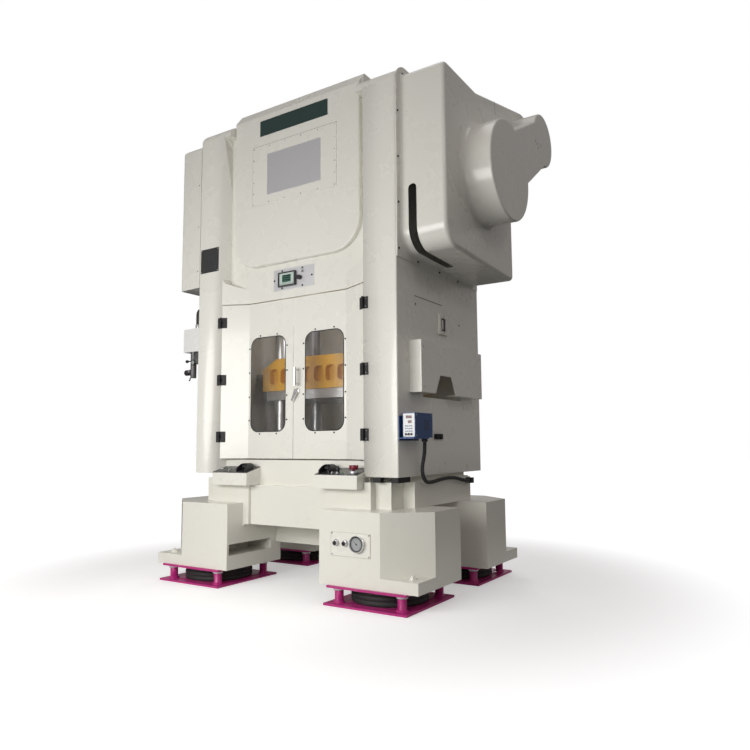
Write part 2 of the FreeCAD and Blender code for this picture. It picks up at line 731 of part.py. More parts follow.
def make_bed():
    """The bed is welded from a box, two stepped shelves, four feet, two cross plates and small haunches."""
    parts = [bed_box()] + [bed_shelf(side) for side in SIDES] + [bed_foot(x, y) for x, y in CORNERS]
    plate_front = s.foot_back + s.tie_plate_thick
    for y in SIDES:
        start, end = (s.foot_back, plate_front) if y > 0 else (-plate_front, -s.foot_back)
        parts.append(block("cross_plate", -FOOT_INNER, start, s.tie_plate_bottom, FOOT_INNER, end,
                           s.beam_bottom))
    parts += [haunch(x, y) for x, y in CORNERS]
    group("bed", *parts)


def make_upright(name, side):
    bay = BAY
    outer = SIDE
    half_depth = s.frame_depth / 2
    upright = new_body(name)
    pad(upright, "top", s.upright_bottom, UPRIGHT_TOP,
        mirrored(box_loop(bay, -half_depth, outer, half_depth), u=side))
    brow = straight_edges(upright.Shape, "x", (-half_depth, UPRIGHT_TOP), (half_depth, UPRIGHT_TOP))
    if side < 0:
        brow += straight_edges(upright.Shape, "y", (-outer, UPRIGHT_TOP))
    fillet(upright, s.brow_rounding, brow)
    fillet(upright, s.upright_rounding,
           straight_edges(upright.Shape, "z", (outer * side, -half_depth), (outer * side, half_depth)))
    window = [(-s.feed_width / 2, s.feed_bottom), (s.feed_width / 2, s.feed_bottom),
              (s.feed_head / 2, s.feed_top), (-s.feed_head / 2, s.feed_top)]
    low, high = (bay, outer) if side > 0 else (-outer, -bay)
    pocket(upright, "side", low, high, window)
    pocket(upright, "side", low, high, round_loop(0, s.axis_height, s.bearing_radius + s.fit_gap))
    rods = [round_loop(ROD_X * side, s.rod_y * y, s.rod_radius + s.rod_bore_gap) for y in SIDES]
    pocket(upright, "top", s.upright_bottom, UPRIGHT_TOP, *rods)


def make_crown():
    bay = BAY
    half_depth = s.frame_depth / 2 - s.bay_setback - s.sheet
    crown = new_body("crown")
    pad(crown, "top", s.crown_bottom, CROWN_TOP, box_loop(-bay, -half_depth, bay, half_depth))
    inner = bay - s.crown_side
    rib = s.rib_thick / 2
    inner_depth = half_depth - s.crown_wall
    room = box_loop(rib, -inner_depth, inner, inner_depth)
    pocket(crown, "top", s.crown_bottom + s.crown_floor, CROWN_TOP, room, mirrored(room, u=-1))
    pocket(crown, "side", -bay, bay, round_loop(0, s.axis_height, s.bearing_radius + s.fit_gap))
    bores = [round_loop(s.rod_spacing / 2 * x, 0, s.plunger_radius + s.bearing_gap) for x in SIDES]
    pocket(crown, "top", s.crown_bottom, s.crown_bottom + s.crown_floor, *bores)


def make_tie_rods():
    parts = []
    for x, y in CORNERS:
        shank = rod("tie_rod", "z", s.rod_radius, ROD_X * x, s.rod_y * y, s.rod_foot,
                    UPRIGHT_TOP + s.rod_nut_tall + s.rod_end - s.rod_foot)
        nut = doc.addObject("Part::Prism", "tie_rod_nut")
        nut.Polygon = 6
        bind(nut, "Circumradius", s.rod_nut_radius)
        bind(nut, "Height", s.rod_nut_tall)
        place(nut, ROD_X * x, s.rod_y * y, UPRIGHT_TOP)
        parts.append(fused("tie_rod_with_nut", shank, nut))
    group("tie_rods", *parts)


def make_isolators():
    bases, rubbers, tops = [], [], []
    for x, y in CORNERS:
        left = ISOLATOR_X * x - s.isolator_wide / 2
        front = s.isolator_y * y - s.isolator_deep / 2
        base = block("isolator_base", left, front, 0, left + s.isolator_wide, front + s.isolator_deep,
                     s.isolator_plate)
        top_under = s.isolator_height - s.isolator_plate
        posts = [rod("isolator_post", "z", s.isolator_post_radius,
                     ISOLATOR_X * x + (s.isolator_wide / 2 - s.isolator_post_in) * i,
                     s.isolator_y * y + (s.isolator_deep / 2 - s.isolator_post_in) * j,
                     s.isolator_plate / 2, top_under - s.isolator_plate / 2) for i, j in CORNERS]
        hole = rod("anchor_hole", "z", s.anchor_radius,
                   (ISOLATOR_X + s.isolator_wide / 2 - s.anchor_in) * x,
                   (s.isolator_y + s.isolator_deep / 2 - s.anchor_in) * y, -1, s.isolator_plate + 2)
        bases.append(cut("isolator_lower", fused("isolator_frame", base, *posts), hole))
        rubbers.append(rod("rubber", "z", s.rubber_radius, ISOLATOR_X * x, s.isolator_y * y,
                           s.isolator_plate, top_under - s.isolator_plate))
        tops.append(block("isolator_upper", left + s.isolator_margin, front + s.isolator_margin, top_under,
                          left + s.isolator_wide - s.isolator_margin,
                          front + s.isolator_deep - s.isolator_margin, s.isolator_height))
    group("isolator_bases", *bases)
    group("isolator_rubbers", *rubbers)
    group("isolator_tops", *tops)


# ---------------------------------------------------------------- tooling space


def make_bolster():
    bolster = new_body("bolster_plate")
    top = s.apron_top + s.bolster_tall
    wide, deep = BOLSTER_END, s.bolster_depth / 2
    pad(bolster, "top", s.apron_top, top, box_loop(-wide, -deep, wide, deep))
    neck_low = top - s.slot_neck_tall
    foot_low = neck_low - s.slot_foot_tall
    for number in (-1.5, -0.5, 0.5, 1.5):
        middle = s.slot_pitch * number
        outline = [(middle - s.slot_foot / 2, foot_low), (middle + s.slot_foot / 2, foot_low),
                   (middle + s.slot_foot / 2, neck_low), (middle + s.slot_neck / 2, neck_low),
                   (middle + s.slot_neck / 2, top), (middle - s.slot_neck / 2, top),
                   (middle - s.slot_neck / 2, neck_low), (middle - s.slot_foot / 2, neck_low)]
        pocket(bolster, "side", -wide, wide, outline)
    pocket(bolster, "top", s.apron_top, top,
           box_loop(-s.bolster_hole / 2, -s.bolster_hole_deep / 2,
                     s.bolster_hole / 2, s.bolster_hole_deep / 2))


def make_slide():
    wide, deep = SLIDE_END, s.slide_depth / 2
    bottom, top = s.slide_bottom, s.slide_bottom + s.slide_tall
    slide = new_body("slide")
    shoulder = top - s.slide_shoulder
    pad(slide, "front", -deep, deep,
        [(-wide, bottom), (wide, bottom), (wide, shoulder), (wide - s.slide_slope, top),
         (s.slide_slope - wide, top), (-wide, shoulder)])
    low, high = bottom + s.slide_rail, top - s.slide_head - s.slide_shoulder * 0.4
    numbers = (-3.5, -2.5, -1.5, -0.5, 0.5, 1.5, 2.5, 3.5)
    starts = [s.pocket_pitch * number - s.pocket_wide / 2 for number in numbers]
    recesses = [box_loop(start, low, start + s.pocket_wide, high) for start in starts]
    for level in (-deep, deep - s.pocket_deep):
        pocket(slide, "front", level, level + s.pocket_deep, *recesses)
    corners = [(x, z) for start in starts for x in (start, start + s.pocket_wide) for z in (low, high)]
    fillet(slide, s.pocket_rounding, straight_edges(slide.Shape, "y", *corners))
    posts = [round_loop(POST_X * x, s.post_y * y, s.post_radius + s.bearing_gap) for x, y in CORNERS]
    pocket(slide, "top", bottom, top, *posts)


def make_ram_plate():
    plate = new_body("ram_plate")
    wide = SLIDE_END - s.ram_plate_margin
    deep = s.slide_depth / 2 - s.ram_plate_margin
    low = s.slide_bottom - s.ram_plate_tall
    pad(plate, "top", low, s.slide_bottom, box_loop(-wide, -deep, wide, deep))
    for number in (-1, 0, 1):
        middle = s.slot_pitch * number
        neck_high = low + s.slot_neck_tall / 2
        foot_high = neck_high + s.slot_foot_tall
        outline = [(middle - s.slot_neck / 2, low), (middle + s.slot_neck / 2, low),
                   (middle + s.slot_neck / 2, neck_high), (middle + s.slot_foot / 2, neck_high),
                   (middle + s.slot_foot / 2, foot_high), (middle - s.slot_foot / 2, foot_high),
                   (middle - s.slot_foot / 2, neck_high), (middle - s.slot_neck / 2, neck_high)]
        pocket(plate, "side", -wide, wide, outline)
    posts = [round_loop(POST_X * x, s.post_y * y, s.post_radius + s.bearing_gap) for x, y in CORNERS]
    pocket(plate, "top", low, s.slide_bottom, *posts)


def make_guide_posts():
    foot = s.apron_top + s.bolster_tall
    group("guide_posts", *[rod("guide_post", "z", s.post_radius, POST_X * x, s.post_y * y, foot,
                               s.crown_bottom - foot) for x, y in CORNERS])


# ---------------------------------------------------------------- drive


def make_connecting_rods():
    """Each rod hangs from its eccentric and carries a plunger that holds the slide."""
    parts = []
    centre = s.axis_height + s.throw
    inside = s.eccentric_radius + s.big_end_gap
    outside = inside + s.big_end_wall
    for x in SIDES:
        middle = s.rod_spacing / 2 * x
        left = middle - s.rod_thick / 2
        ring = rod("big_end", "x", outside, left, 0, centre, s.rod_thick)
        shank = block("rod_shank", left, -s.rod_thick / 2, PLUNGER_TOP, left + s.rod_thick,
                      s.rod_thick / 2, centre - inside - s.big_end_wall / 2)
        bore = rod("big_end_bore", "x", inside, left - 1, 0, centre, s.rod_thick + 2)
        foot = s.slide_bottom + s.slide_tall
        plunger = rod("plunger", "z", s.plunger_radius, middle, 0, foot, PLUNGER_TOP - foot)
        parts.append(cut("connecting_rod", fused("rod_blank", ring, shank, plunger), bore))
    group("connecting_rods", *parts)


def make_crankshaft():
    shaft = new_body("crankshaft")
    pad(shaft, "side", s.shaft_short - SIDE, FLYWHEEL_LEFT + s.flywheel_wide + s.shaft_end,
        round_loop(0, s.axis_height, s.shaft_radius))
    for x in SIDES:
        middle = s.rod_spacing / 2 * x
        pad(shaft, "side", middle - s.eccentric_wide / 2, middle + s.eccentric_wide / 2,
            round_loop(0, s.axis_height + s.throw, s.eccentric_radius))


def make_main_bearings():
    bay = BAY
    spans = [(-SIDE, s.crown_side - bay), (-s.rib_thick / 2, s.rib_thick / 2),
             (bay - s.crown_side, SIDE)]
    shells = []
    for low, high in spans:
        outer = rod("bearing_outer", "x", s.bearing_radius, low, 0, s.axis_height, high - low)
        inner = rod("bearing_bore", "x", s.shaft_radius + s.bearing_gap, low - 1, 0, s.axis_height,
                    high - low + 2)
        shells.append(cut("main_bearing", outer, inner))
    group("main_bearings", *shells)


def revolved(name, axis_height, axis_y, outline):
    """Turns an outline of (x, radius) points about an axis along X."""
    body = new_body(name)
    sketch = add_sketch(body, "front", axis_y, [[(x, axis_height + radius) for x, radius in outline]])
    line = sketch.addGeometry(Part.LineSegment(V(0, as_size(axis_height).number, 0),
                                               V(100, as_size(axis_height).number, 0)), True)
    sketch.addConstraint(Sketcher.Constraint("Horizontal", line))
    index = sketch.addConstraint(Sketcher.Constraint("DistanceY", -1, 1, line, 1,
                                                     as_size(axis_height).number))
    sketch.setExpression("Constraints[%d]" % index, as_size(axis_height).text)
    sketch.addConstraint(Sketcher.Constraint("PointOnObject", line, 1, -2))
    sketch.addConstraint(Sketcher.Constraint("DistanceX", line, 1, line, 2, 100.0))
    turn = body.newObject("PartDesign::Revolution", name + "_turned")
    turn.Profile = sketch
    turn.ReferenceAxis = (sketch, ["Axis0"])
    turn.Angle = 360
    body.Tip = turn
    doc.recompute()
    return body


def make_flywheel():
    left, right = FLYWHEEL_LEFT, FLYWHEEL_LEFT + s.flywheel_wide
    hub = s.shaft_radius + s.fit_gap
    rim, web = s.flywheel_radius, s.rim_wide / 4
    rim_right = left + s.rim_wide
    revolved("flywheel", s.axis_height, 0,
             [(left, hub), (right, hub), (right, s.belt_hub), (rim_right - web, s.belt_hub),
              (rim_right - web, rim - 60), (rim_right, rim - 60), (rim_right, rim), (left, rim),
              (left, rim - 60), (left + web, rim - 60), (left + web, s.belt_hub), (left, s.belt_hub)])


def make_motor():
    outer = SIDE + s.sheet
    face = outer + s.motor_plate
    plate = block("motor_plate", outer, s.motor_y - s.motor_radius - 20, MOTOR_HEIGHT - s.motor_radius - 12,
                  face, s.motor_y + s.motor_radius + 20, MOTOR_HEIGHT + s.motor_radius + 20)
    can = rod("motor_can", "x", s.motor_radius, face, s.motor_y, MOTOR_HEIGHT, s.motor_long)
    shaft = rod("motor_shaft_bore", "x", s.motor_shaft + s.stem_gap, face + s.motor_long - 60, s.motor_y,
                MOTOR_HEIGHT, 61)
    keep("motor", cut("motor", fused("motor_blank", plate, can), shaft))
    pulley_left = FLYWHEEL_LEFT + s.rim_wide
    wheel = rod("pulley_wheel", "x", s.pulley_radius, pulley_left, s.motor_y, MOTOR_HEIGHT,
                s.flywheel_wide - s.rim_wide)
    spindle = rod("pulley_shaft", "x", s.motor_shaft, face + s.motor_long - 50, s.motor_y, MOTOR_HEIGHT,
                  pulley_left - face - s.motor_long + 60)
    keep("motor_pulley", fused("motor_pulley", wheel, spindle))


def hull_of_circles(x, c1, r1, c2, r2):
    """A face in the plane at x, bounded by two circles and their outer tangents."""
    dy, dz = c2[0] - c1[0], c2[1] - c1[1]
    apart = math.hypot(dy, dz)
    lean = math.asin((r1 - r2) / apart)
    heading = math.atan2(dz, dy)
    up, down = heading + math.pi / 2 - lean, heading - math.pi / 2 + lean

    def spot(centre, radius, angle):
        return V(x, centre[0] + radius * math.cos(angle), centre[1] + radius * math.sin(angle))

    a, b = spot(c1, r1, up), spot(c1, r1, down)
    c, d = spot(c2, r2, down), spot(c2, r2, up)
    left = Part.Arc(a, spot(c1, r1, heading + math.pi), b).toShape()
    right = Part.Arc(c, spot(c2, r2, heading), d).toShape()
    edges = [left, Part.LineSegment(b, c).toShape(), right, Part.LineSegment(d, a).toShape()]
    return Part.Face(Part.Wire(Part.__sortEdges__(edges)))


def make_belts():
    """Three belts run round the flywheel's hub and the motor pulley."""
    c1 = (0.0, s.axis_height.number)
    c2 = (s.motor_y.number, MOTOR_HEIGHT.number)
    gap, thick = s.belt_gap.number, s.belt_thick.number
    r1, r2 = s.belt_hub.number + gap, s.pulley_radius.number + gap
    middle = (FLYWHEEL_LEFT + (s.rim_wide + s.flywheel_wide) / 2).number
    belts = []
    for number in (-1, 0, 1):
        left = middle + s.belt_pitch.number * number - s.belt_wide.number / 2
        outer = hull_of_circles(left, c1, r1 + thick, c2, r2 + thick)
        inner = hull_of_circles(left, c1, r1, c2, r2)
        across = V(s.belt_wide.number, 0, 0)
        belts.append(outer.extrude(across).cut(inner.extrude(across)))
    feature = doc.addObject("Part::Feature", "drive_belts")
    feature.Shape = Part.makeCompound(belts)
    keep("drive_belts", feature)


# ---------------------------------------------------------------- doors and fascia


def cap_recesses(panel, front, flat, back):
    """Closes the top of the recesses on both sides of a hood, level with the uprights and as round."""
    for side in SIDES:
        low, high = sorted((side * (HOOD_END + s.cap_gap), side * BAY), key=lambda end: end.number)
        pad(panel, "side", low, high, box_loop(flat, CROWN_TOP, back, UPRIGHT_TOP))
        pad(panel, "side", low, high, box_loop(front, UPRIGHT_TOP - s.cap_tall, flat, UPRIGHT_TOP))
    fillet(panel, s.brow_rounding, straight_edges(panel.Shape, "x", (front, UPRIGHT_TOP)))


def make_fascia():
    bay = BAY
    front = -s.frame_depth / 2
    flat = front + s.bay_setback
    back = flat + s.sheet
    fascia = new_body("front_fascia")
    low = s.door_top + s.door_head_gap
    cheeks = [(-bay, front), (-FOLD, flat), (FOLD, flat), (bay, front), (bay, front + s.sheet),
              (FOLD, back), (-FOLD, back), (-bay, front + s.sheet)]
    pad(fascia, "top", low, s.fascia_step, cheeks)
    pad(fascia, "top", s.fascia_step - s.sheet, CROWN_TOP, box_loop(-bay, flat, bay, back))
    shelf = [(-bay, front), (-FOLD, flat), (FOLD, flat), (bay, front), (bay, back), (-bay, back)]
    pad(fascia, "top", s.fascia_step - s.sheet, s.fascia_step, shelf)
    foot, top = s.fascia_step, s.fascia_step + s.lip_tall
    width = bay - FOLD
    for side in SIDES:
        lip = [(bay * side, front), (FOLD * side, flat), (bay * side, flat)]
        pad(fascia, "top", foot, top, lip)
        over = [(FOLD * side, foot), (FOLD * side, top + 1), (bay * side + side, top + 1),
                (bay * side + side, top), (bay * side, top), (bay * side - width * 0.05 * side, foot + s.lip_tall * 0.74),
                (bay * side - width * 0.14 * side, foot + s.lip_tall * 0.56),
                (bay * side - width * 0.4 * side, foot + s.lip_tall * 0.36),
                (bay * side - width * 0.8 * side, foot + s.lip_tall * 0.08)]
        pocket(fascia, "front", front - 1, flat, over)
    cap_recesses(fascia, front, flat, back)


def make_rear_panel():
    bay = BAY
    flat = s.frame_depth / 2 - s.bay_setback
    panel = new_body("rear_panel")
    pad(panel, "top", s.apron_top, CROWN_TOP, box_loop(-bay, flat - s.sheet, bay, flat))
    cap_recesses(panel, s.frame_depth / 2, flat, flat - s.sheet)


def make_door(name, side):
    bay = BAY
    front = -s.frame_depth / 2
    flat = front + s.bay_setback
    edge = (bay - s.door_gap) * side
    meet = s.door_split + s.door_gap / 2 * side
    slope = s.bay_setback / (bay - FOLD)
    edge_y = front + s.door_gap * slope
    fold = FOLD * side
    door = new_body(name)
    pad(door, "top", s.door_bottom, s.door_top,
        [(edge, edge_y), (fold, flat), (meet, flat), (meet, flat + s.sheet), (fold, flat + s.sheet),
         (edge, edge_y + s.sheet)])
    near, far = s.window_inner, FOLD - s.window_fold_gap
    left, right = (near, far) if side > 0 else (-far, -near)
    wide = right - left
    low, high = s.window_bottom, s.window_bottom + s.window_tall
    pocket(door, "front", flat, flat + s.sheet, box_loop(left, low, right, high))
    fillet(door, s.window_rounding,
           straight_edges(door.Shape, "y", (left, low), (left, high), (right, low), (right, high)))
    pane = new_body(name.replace("door", "window"))
    pane_left, pane_right = left - s.pane_margin, right + s.pane_margin
    pane_low, pane_high = low - s.pane_margin, high + s.pane_margin
    pad(pane, "front", flat + s.sheet, flat + s.sheet + s.pane_thick,
        box_loop(pane_left, pane_low, pane_right, pane_high))
    fillet(pane, s.window_rounding,
           straight_edges(pane.Shape, "y", (pane_left, pane_low), (pane_left, pane_high),
                          (pane_right, pane_low), (pane_right, pane_high)))
    ring = []
    for x in (left + wide * 0.27, left + wide * 0.76):
        for z in (low - s.screw_out, high + s.screw_out):
            ring.append((x, z))
    for share in (0.12, 0.37, 0.63, 0.89):
        for x in (left - s.screw_out, right + s.screw_out):
            ring.append((x, low + s.window_tall * share))
    group(name.replace("door", "window") + "_screws",
          *[rod("window_screw", "y", s.screw_radius, x, flat - s.screw_tall, z, s.screw_tall) for x, z in ring])


def side_block(name, side, near, far, y0, z0, y1, z1):
    """A block between two distances from the middle, on one side of it."""
    x0, x1 = (near, far) if side > 0 else (-far, -near)
    return block(name, x0, y0, z0, x1, y1, z1)


def fixed_hinge(side, axis_x, axis_y, low):
    """The leaf on the upright, with the outer knuckles and the pin."""
    bay = BAY
    front = -s.frame_depth / 2
    third = s.hinge_tall / 3
    parts = [side_block("fixed_leaf", side, bay, bay + s.hinge_leaf, front - s.hinge_thick, low, front,
                        low + s.hinge_tall),
             rod("hinge_pin", "z", s.pin_radius, axis_x, axis_y, low, s.hinge_tall)]
    for start in (low, low + third * 2):
        parts.append(side_block("fixed_web", side, bay, bay + s.hinge_thick * 2, axis_y, start, front,
                                start + third))
        parts.append(rod("fixed_knuckle", "z", s.knuckle_radius, axis_x, axis_y, start, third))
    return fused("fixed_hinge", *parts)


def door_hinge(side, axis_x, axis_y, low):
    """The leaf on the door's slanted edge, with the middle knuckle."""
    bay = BAY
    slope = s.bay_setback / (bay - FOLD)
    third = s.hinge_tall / 3
    start = s.door_gap + 1
    end = s.door_gap + s.hinge_leaf

    def on_door(inward):
        return inward * slope - s.frame_depth / 2

    outline = [(bay - start, on_door(start)), (bay - end, on_door(end)),
               (bay - end, on_door(end) - s.hinge_thick), (bay - start, on_door(start) - s.hinge_thick)]
    leaf = plain_body("door_leaf")
    pad(leaf, "top", low, low + s.hinge_tall, mirrored(outline, u=side))
    arm = [(bay - 0.01, axis_y), (bay - start, on_door(start) - 0.01),
           (bay - start - 6, on_door(start + 6) - 0.01),
            (bay - start - 6, on_door(start + 6) - s.hinge_thick),
           (bay - s.knuckle_radius * 0.7, axis_y)]
    middle, tall = low + third + s.knuckle_gap, third - s.knuckle_gap * 2
    pad(leaf, "top", middle, middle + tall, mirrored(arm, u=side))
    knuckle = rod("door_knuckle", "z", s.knuckle_radius, axis_x, axis_y, middle, tall)
    bore = rod("door_knuckle_bore", "z", s.pin_radius + s.pin_gap, axis_x, axis_y, middle - 1, tall + 2)
    return cut("door_hinge", fused("door_hinge_blank", leaf, knuckle), bore)


def make_hinges():
    axis_x = SIDE - s.upright_width
    axis_y = -s.frame_depth / 2 - s.knuckle_out
    lows = [height - s.hinge_tall / 2 for height in (s.hinge_low, s.hinge_mid, s.hinge_high)]
    for name, side in (("left_hinge_leaves", -1), ("right_hinge_leaves", 1)):
        group(name, *[door_hinge(side, axis_x * side, axis_y, low) for low in lows])
    group("hinge_frame_leaves", *[fixed_hinge(side, axis_x * side, axis_y, low)
                                  for side in SIDES for low in lows])


def make_handle_and_latch():
    flat = s.bay_setback - s.frame_depth / 2
    grip = rod("grip", "z", s.handle_radius, s.handle_x, flat - s.handle_out, s.handle_bottom,
               s.handle_tall)
    feet = [rod("grip_foot", "y", s.handle_foot, s.handle_x, flat - s.handle_out, z, s.handle_out)
            for z in (s.handle_bottom + 12, s.handle_bottom + s.handle_tall - 12)]
    rose = rod("latch_rose", "y", s.latch_radius, s.latch_x, flat - s.latch_out, s.latch_height,
               s.latch_out)
    group("door_handle", fused("pull_handle", grip, *feet), rose)
    lever = new_body("latch_lever")
    reach = s.latch_lever
    lever_front = flat - s.latch_out - s.latch_thick - s.knuckle_gap
    pad(lever, "front", lever_front, lever_front + s.latch_thick,
        [(s.latch_x - 9, s.latch_height + 12), (s.latch_x + 9, s.latch_height + 12),
         (s.latch_x + 9, s.latch_height - 12), (s.latch_x - reach * 0.45, s.latch_height - reach),
         (s.latch_x - reach * 0.62, s.latch_height - reach * 0.9)])


# ---------------------------------------------------------------- hoods and covers


def hood_solid(side, wall):
    """A shallow box on the fascia under a roof half; drawn in by a wall it is the hood's inside."""
    near = s.frame_depth / 2 - s.bay_setback
    far = near + s.hood_out - wall
    wide = HOOD_END - wall
    low = s.hood_bottom + wall
    solid = plain_body("hood_solid")
    start, end = (near, far) if side > 0 else (-far, -near)
    pad(solid, "front", start, end, box_loop(-wide, low, wide, CROWN_TOP + s.sheet))
    fillet(solid, s.hood_corner - wall, straight_edges(solid.Shape, "y", (-wide, low), (wide, low)))
    roof = [(as_size(0), CROWN_TOP), (far, CROWN_TOP), (far, HOOD_SHOULDER),
            (far - s.hood_slant + wall, HOOD_TOP - wall), (as_size(0), HOOD_TOP - wall)]
    pad(solid, "side", -wide, wide, mirrored(roof, u=side))
    return solid


def make_hood(name, side):
    """A shallow skin over the fascia that turns into a roof over the crown."""
    outer = hood_solid(side, as_size(0))
    face = (s.frame_depth / 2 - s.bay_setback + s.hood_out) * side
    fillet(outer, s.hood_rounding, edges_on(outer.Shape, "y", face.number))
    keep(name, cut(name, outer, hood_solid(side, s.sheet * 1.5)))


def make_inspection_cover():
    front = -s.frame_depth / 2 + s.bay_setback - s.hood_out
    plate = new_body("inspection_cover")
    pad(plate, "front", front - s.inspect_thick, front,
        box_loop(-(HOOD_END - s.inspect_in), INSPECT_BOTTOM, (HOOD_END - s.inspect_in), INSPECT_TOP))


def cover_corners(inset):
    """Side view of the flywheel cover as (y, z, radius), drawn in by a wall."""
    front = -s.frame_depth / 2 + s.cover_set
    return [(front + inset, COVER_TOP - inset, s.cover_brow - inset),
            (s.cover_knee + inset * 0.15, COVER_TOP - inset, s.cover_edge * 4 + inset),
            (s.cover_peak_y - inset * 0.15, COVER_PEAK - inset, s.cover_edge * 4 - inset),
            (s.cover_back - inset, COVER_PEAK - inset, s.cover_curve / 2 - inset),
            (s.cover_back - inset, COVER_BACK_LOW + inset * 0.4, s.cover_curve / 4 - inset),
            (s.cover_waist - inset, COVER_WAIST_TOP + inset * 0.4, s.cover_curve / 2 + inset),
            (s.cover_waist - inset, COVER_BOTTOM_BACK + inset, s.cover_curve / 4 - inset),
            (front + inset, COVER_BOTTOM + inset, s.cover_curve - inset)]


def guard_neck(inset):
    """The part of the belt guard between the flywheel and the motor pulley."""
    big, small = s.guard_radius, s.guard_small
    return [(big * 0.302, s.axis_height + big * 0.963 - inset),
            (s.motor_y - small * 0.486, MOTOR_HEIGHT + small * 0.64 - inset),
            (s.motor_y + small * 0.834, MOTOR_HEIGHT - small * 0.457),
            (big - inset, s.axis_height + big * 0.06 + inset), (as_size(0), s.axis_height)]


def cover_prism(low, high, inset):
    prism = plain_body("cover_prism")
    corners = cover_corners(inset)
    pad(prism, "side", low, high, [(y, z) for y, z, radius in corners])
    for y, z, radius in corners:
        fillet(prism, radius, straight_edges(prism.Shape, "x", (y, z)))
    return prism


def add_cover_rim(shell):
    """A flat rim on the upright's side, blended into the shell that rises from it."""
    inner, face = SIDE, SIDE + s.rim_thick
    front = s.rim_in - s.frame_depth / 2
    back = s.frame_depth / 2 - s.rim_in * 4
    pad(shell, "side", inner, face, box_loop(front, RIM_BOTTOM, back, RIM_TOP))
    fillet(shell, s.rim_corner, straight_edges(shell.Shape, "x", (front, RIM_TOP)))
    root = []
    for name in edges_on(shell.Shape, "x", face.number):
        spot = shell.Shape.getElement(name).BoundBox
        if (spot.YMin > front.number + 1 and spot.ZMin > RIM_BOTTOM.number + 1
                and spot.ZMax < COVER_TOP.number - s.cover_brow.number + 1
                and spot.YMax < back.number - 1):
            root.append(name)
    fillet(shell, s.rim_blend, root)


def make_flywheel_cover():
    """A moulded shell over the flywheel and the motor, open towards the crankshaft."""
    inner = SIDE
    outer = COVER_RIGHT
    face = outer + s.guard_out
    shell = cover_prism(inner, outer, as_size(0))
    fillet(shell, s.cover_edge, edges_on(shell.Shape, "x", outer.number))
    add_cover_rim(shell)
    pad(shell, "side", outer - s.sheet, face, round_loop(0, s.axis_height, s.guard_radius))
    ring = [name for name in edges_on(shell.Shape, "x", outer.number)
            if abs(shell.Shape.getElement(name).Length - 2 * math.pi * s.guard_radius.number) < 1]
    fillet(shell, s.guard_flare, ring)
    pad(shell, "side", outer - s.sheet, face, guard_neck(as_size(0)))
    pad(shell, "side", outer - s.sheet, face, round_loop(s.motor_y, MOTOR_HEIGHT, s.guard_small))
    fillet(shell, s.guard_edge, edges_on(shell.Shape, "x", face.number))
    room = cover_prism(inner + s.sheet, outer - s.sheet, s.sheet)
    fillet(room, s.cover_edge - s.sheet, edges_on(room.Shape, "x", (outer - s.sheet).number))
    wall = s.sheet * 1.5
    pad(room, "side", outer - s.sheet * 2, face - wall, round_loop(0, s.axis_height, s.guard_radius - wall))
    pad(room, "side", outer - s.sheet * 2, face - wall, guard_neck(wall))
    pad(room, "side", outer - s.sheet * 2, face - wall,
        round_loop(s.motor_y, MOTOR_HEIGHT, s.guard_small - wall))
    pad(room, "side", inner - s.sheet, inner + s.sheet * 2,
        round_loop(0, s.axis_height, s.bearing_radius + s.rod_nut_radius))
    front = -s.frame_depth / 2 + s.cover_set
    slot = plain_body("barring_slot")
    pad(slot, "side", (SIDE + s.sight_out), (SIDE + s.sight_out) + s.sight_wide,
        [(front - 5, COVER_BOTTOM_BACK - 5), (s.sight_back, COVER_BOTTOM_BACK - 5),
         (s.sight_back, COVER_BOTTOM + s.sheet), (front + s.cover_curve, COVER_BOTTOM + 30),
         (front + 30, COVER_BOTTOM + s.cover_curve), (front + 12, SIGHT_TOP), (front - 5, SIGHT_TOP)])
    slot_top = rod("slot_top", "y", s.sight_wide / 2, (SIDE + s.sight_out) + s.sight_wide / 2, front - 5,
                   SIGHT_TOP, s.sheet + 40)
    keep("flywheel_cover", cut("flywheel_cover", shell, room, slot, slot_top))


def left_cover_solid(wall):
    outer = SIDE + s.left_cover_out - wall
    front = wall - s.frame_depth / 2
    back = s.left_cover_back - wall
    solid = plain_body("left_cover_solid")
    pad(solid, "top", s.left_cover_bottom + wall, LEFT_COVER_TOP - wall,
        box_loop(-outer, front, -SIDE, back))
    fillet(solid, s.left_cover_rounding - wall,
           straight_edges(solid.Shape, "z", (-outer, front), (-outer, back)))
    inner_edge = straight_edges(solid.Shape, "y", (-SIDE, LEFT_COVER_TOP - wall))
    upper = [name for name in edges_on(solid.Shape, "z", (LEFT_COVER_TOP - wall).number)
             if name not in inner_edge]
    fillet(solid, s.left_cover_edge - wall, upper)
    return solid


def make_left_cover():
    keep("left_side_cover", cut("left_side_cover", left_cover_solid(as_size(0)), left_cover_solid(s.sheet)))


def feed_guard(side):
    """A box over the feed window with an arch for the strip."""
    inner = SIDE
    outer = inner + s.feed_guard_out
    half = s.feed_guard_depth / 2
    wall = s.sheet
    guard = plain_body("feed_guard")
    low, high = (inner, outer) if side > 0 else (-outer, -inner)
    pad(guard, "side", low, high, box_loop(-half, s.feed_guard_bottom, half, s.feed_guard_top))
    inside = (inner, outer - wall) if side > 0 else (wall - outer, -inner)
    pocket(guard, "side", inside[0], inside[1],
           box_loop(wall - half, s.feed_guard_bottom + wall, half - wall, s.feed_guard_top - wall))
    middle = s.feed_arch_shift
    arch = [(middle - s.feed_arch_foot / 2, s.feed_guard_bottom - 1),
            (middle + s.feed_arch_foot / 2, s.feed_guard_bottom - 1),
            (middle + s.feed_arch_head / 2, s.feed_arch_top),
            (middle - s.feed_arch_head / 2, s.feed_arch_top)]
    pocket(guard, "side", low, high, arch)
    return guard


# ---------------------------------------------------------------- controls


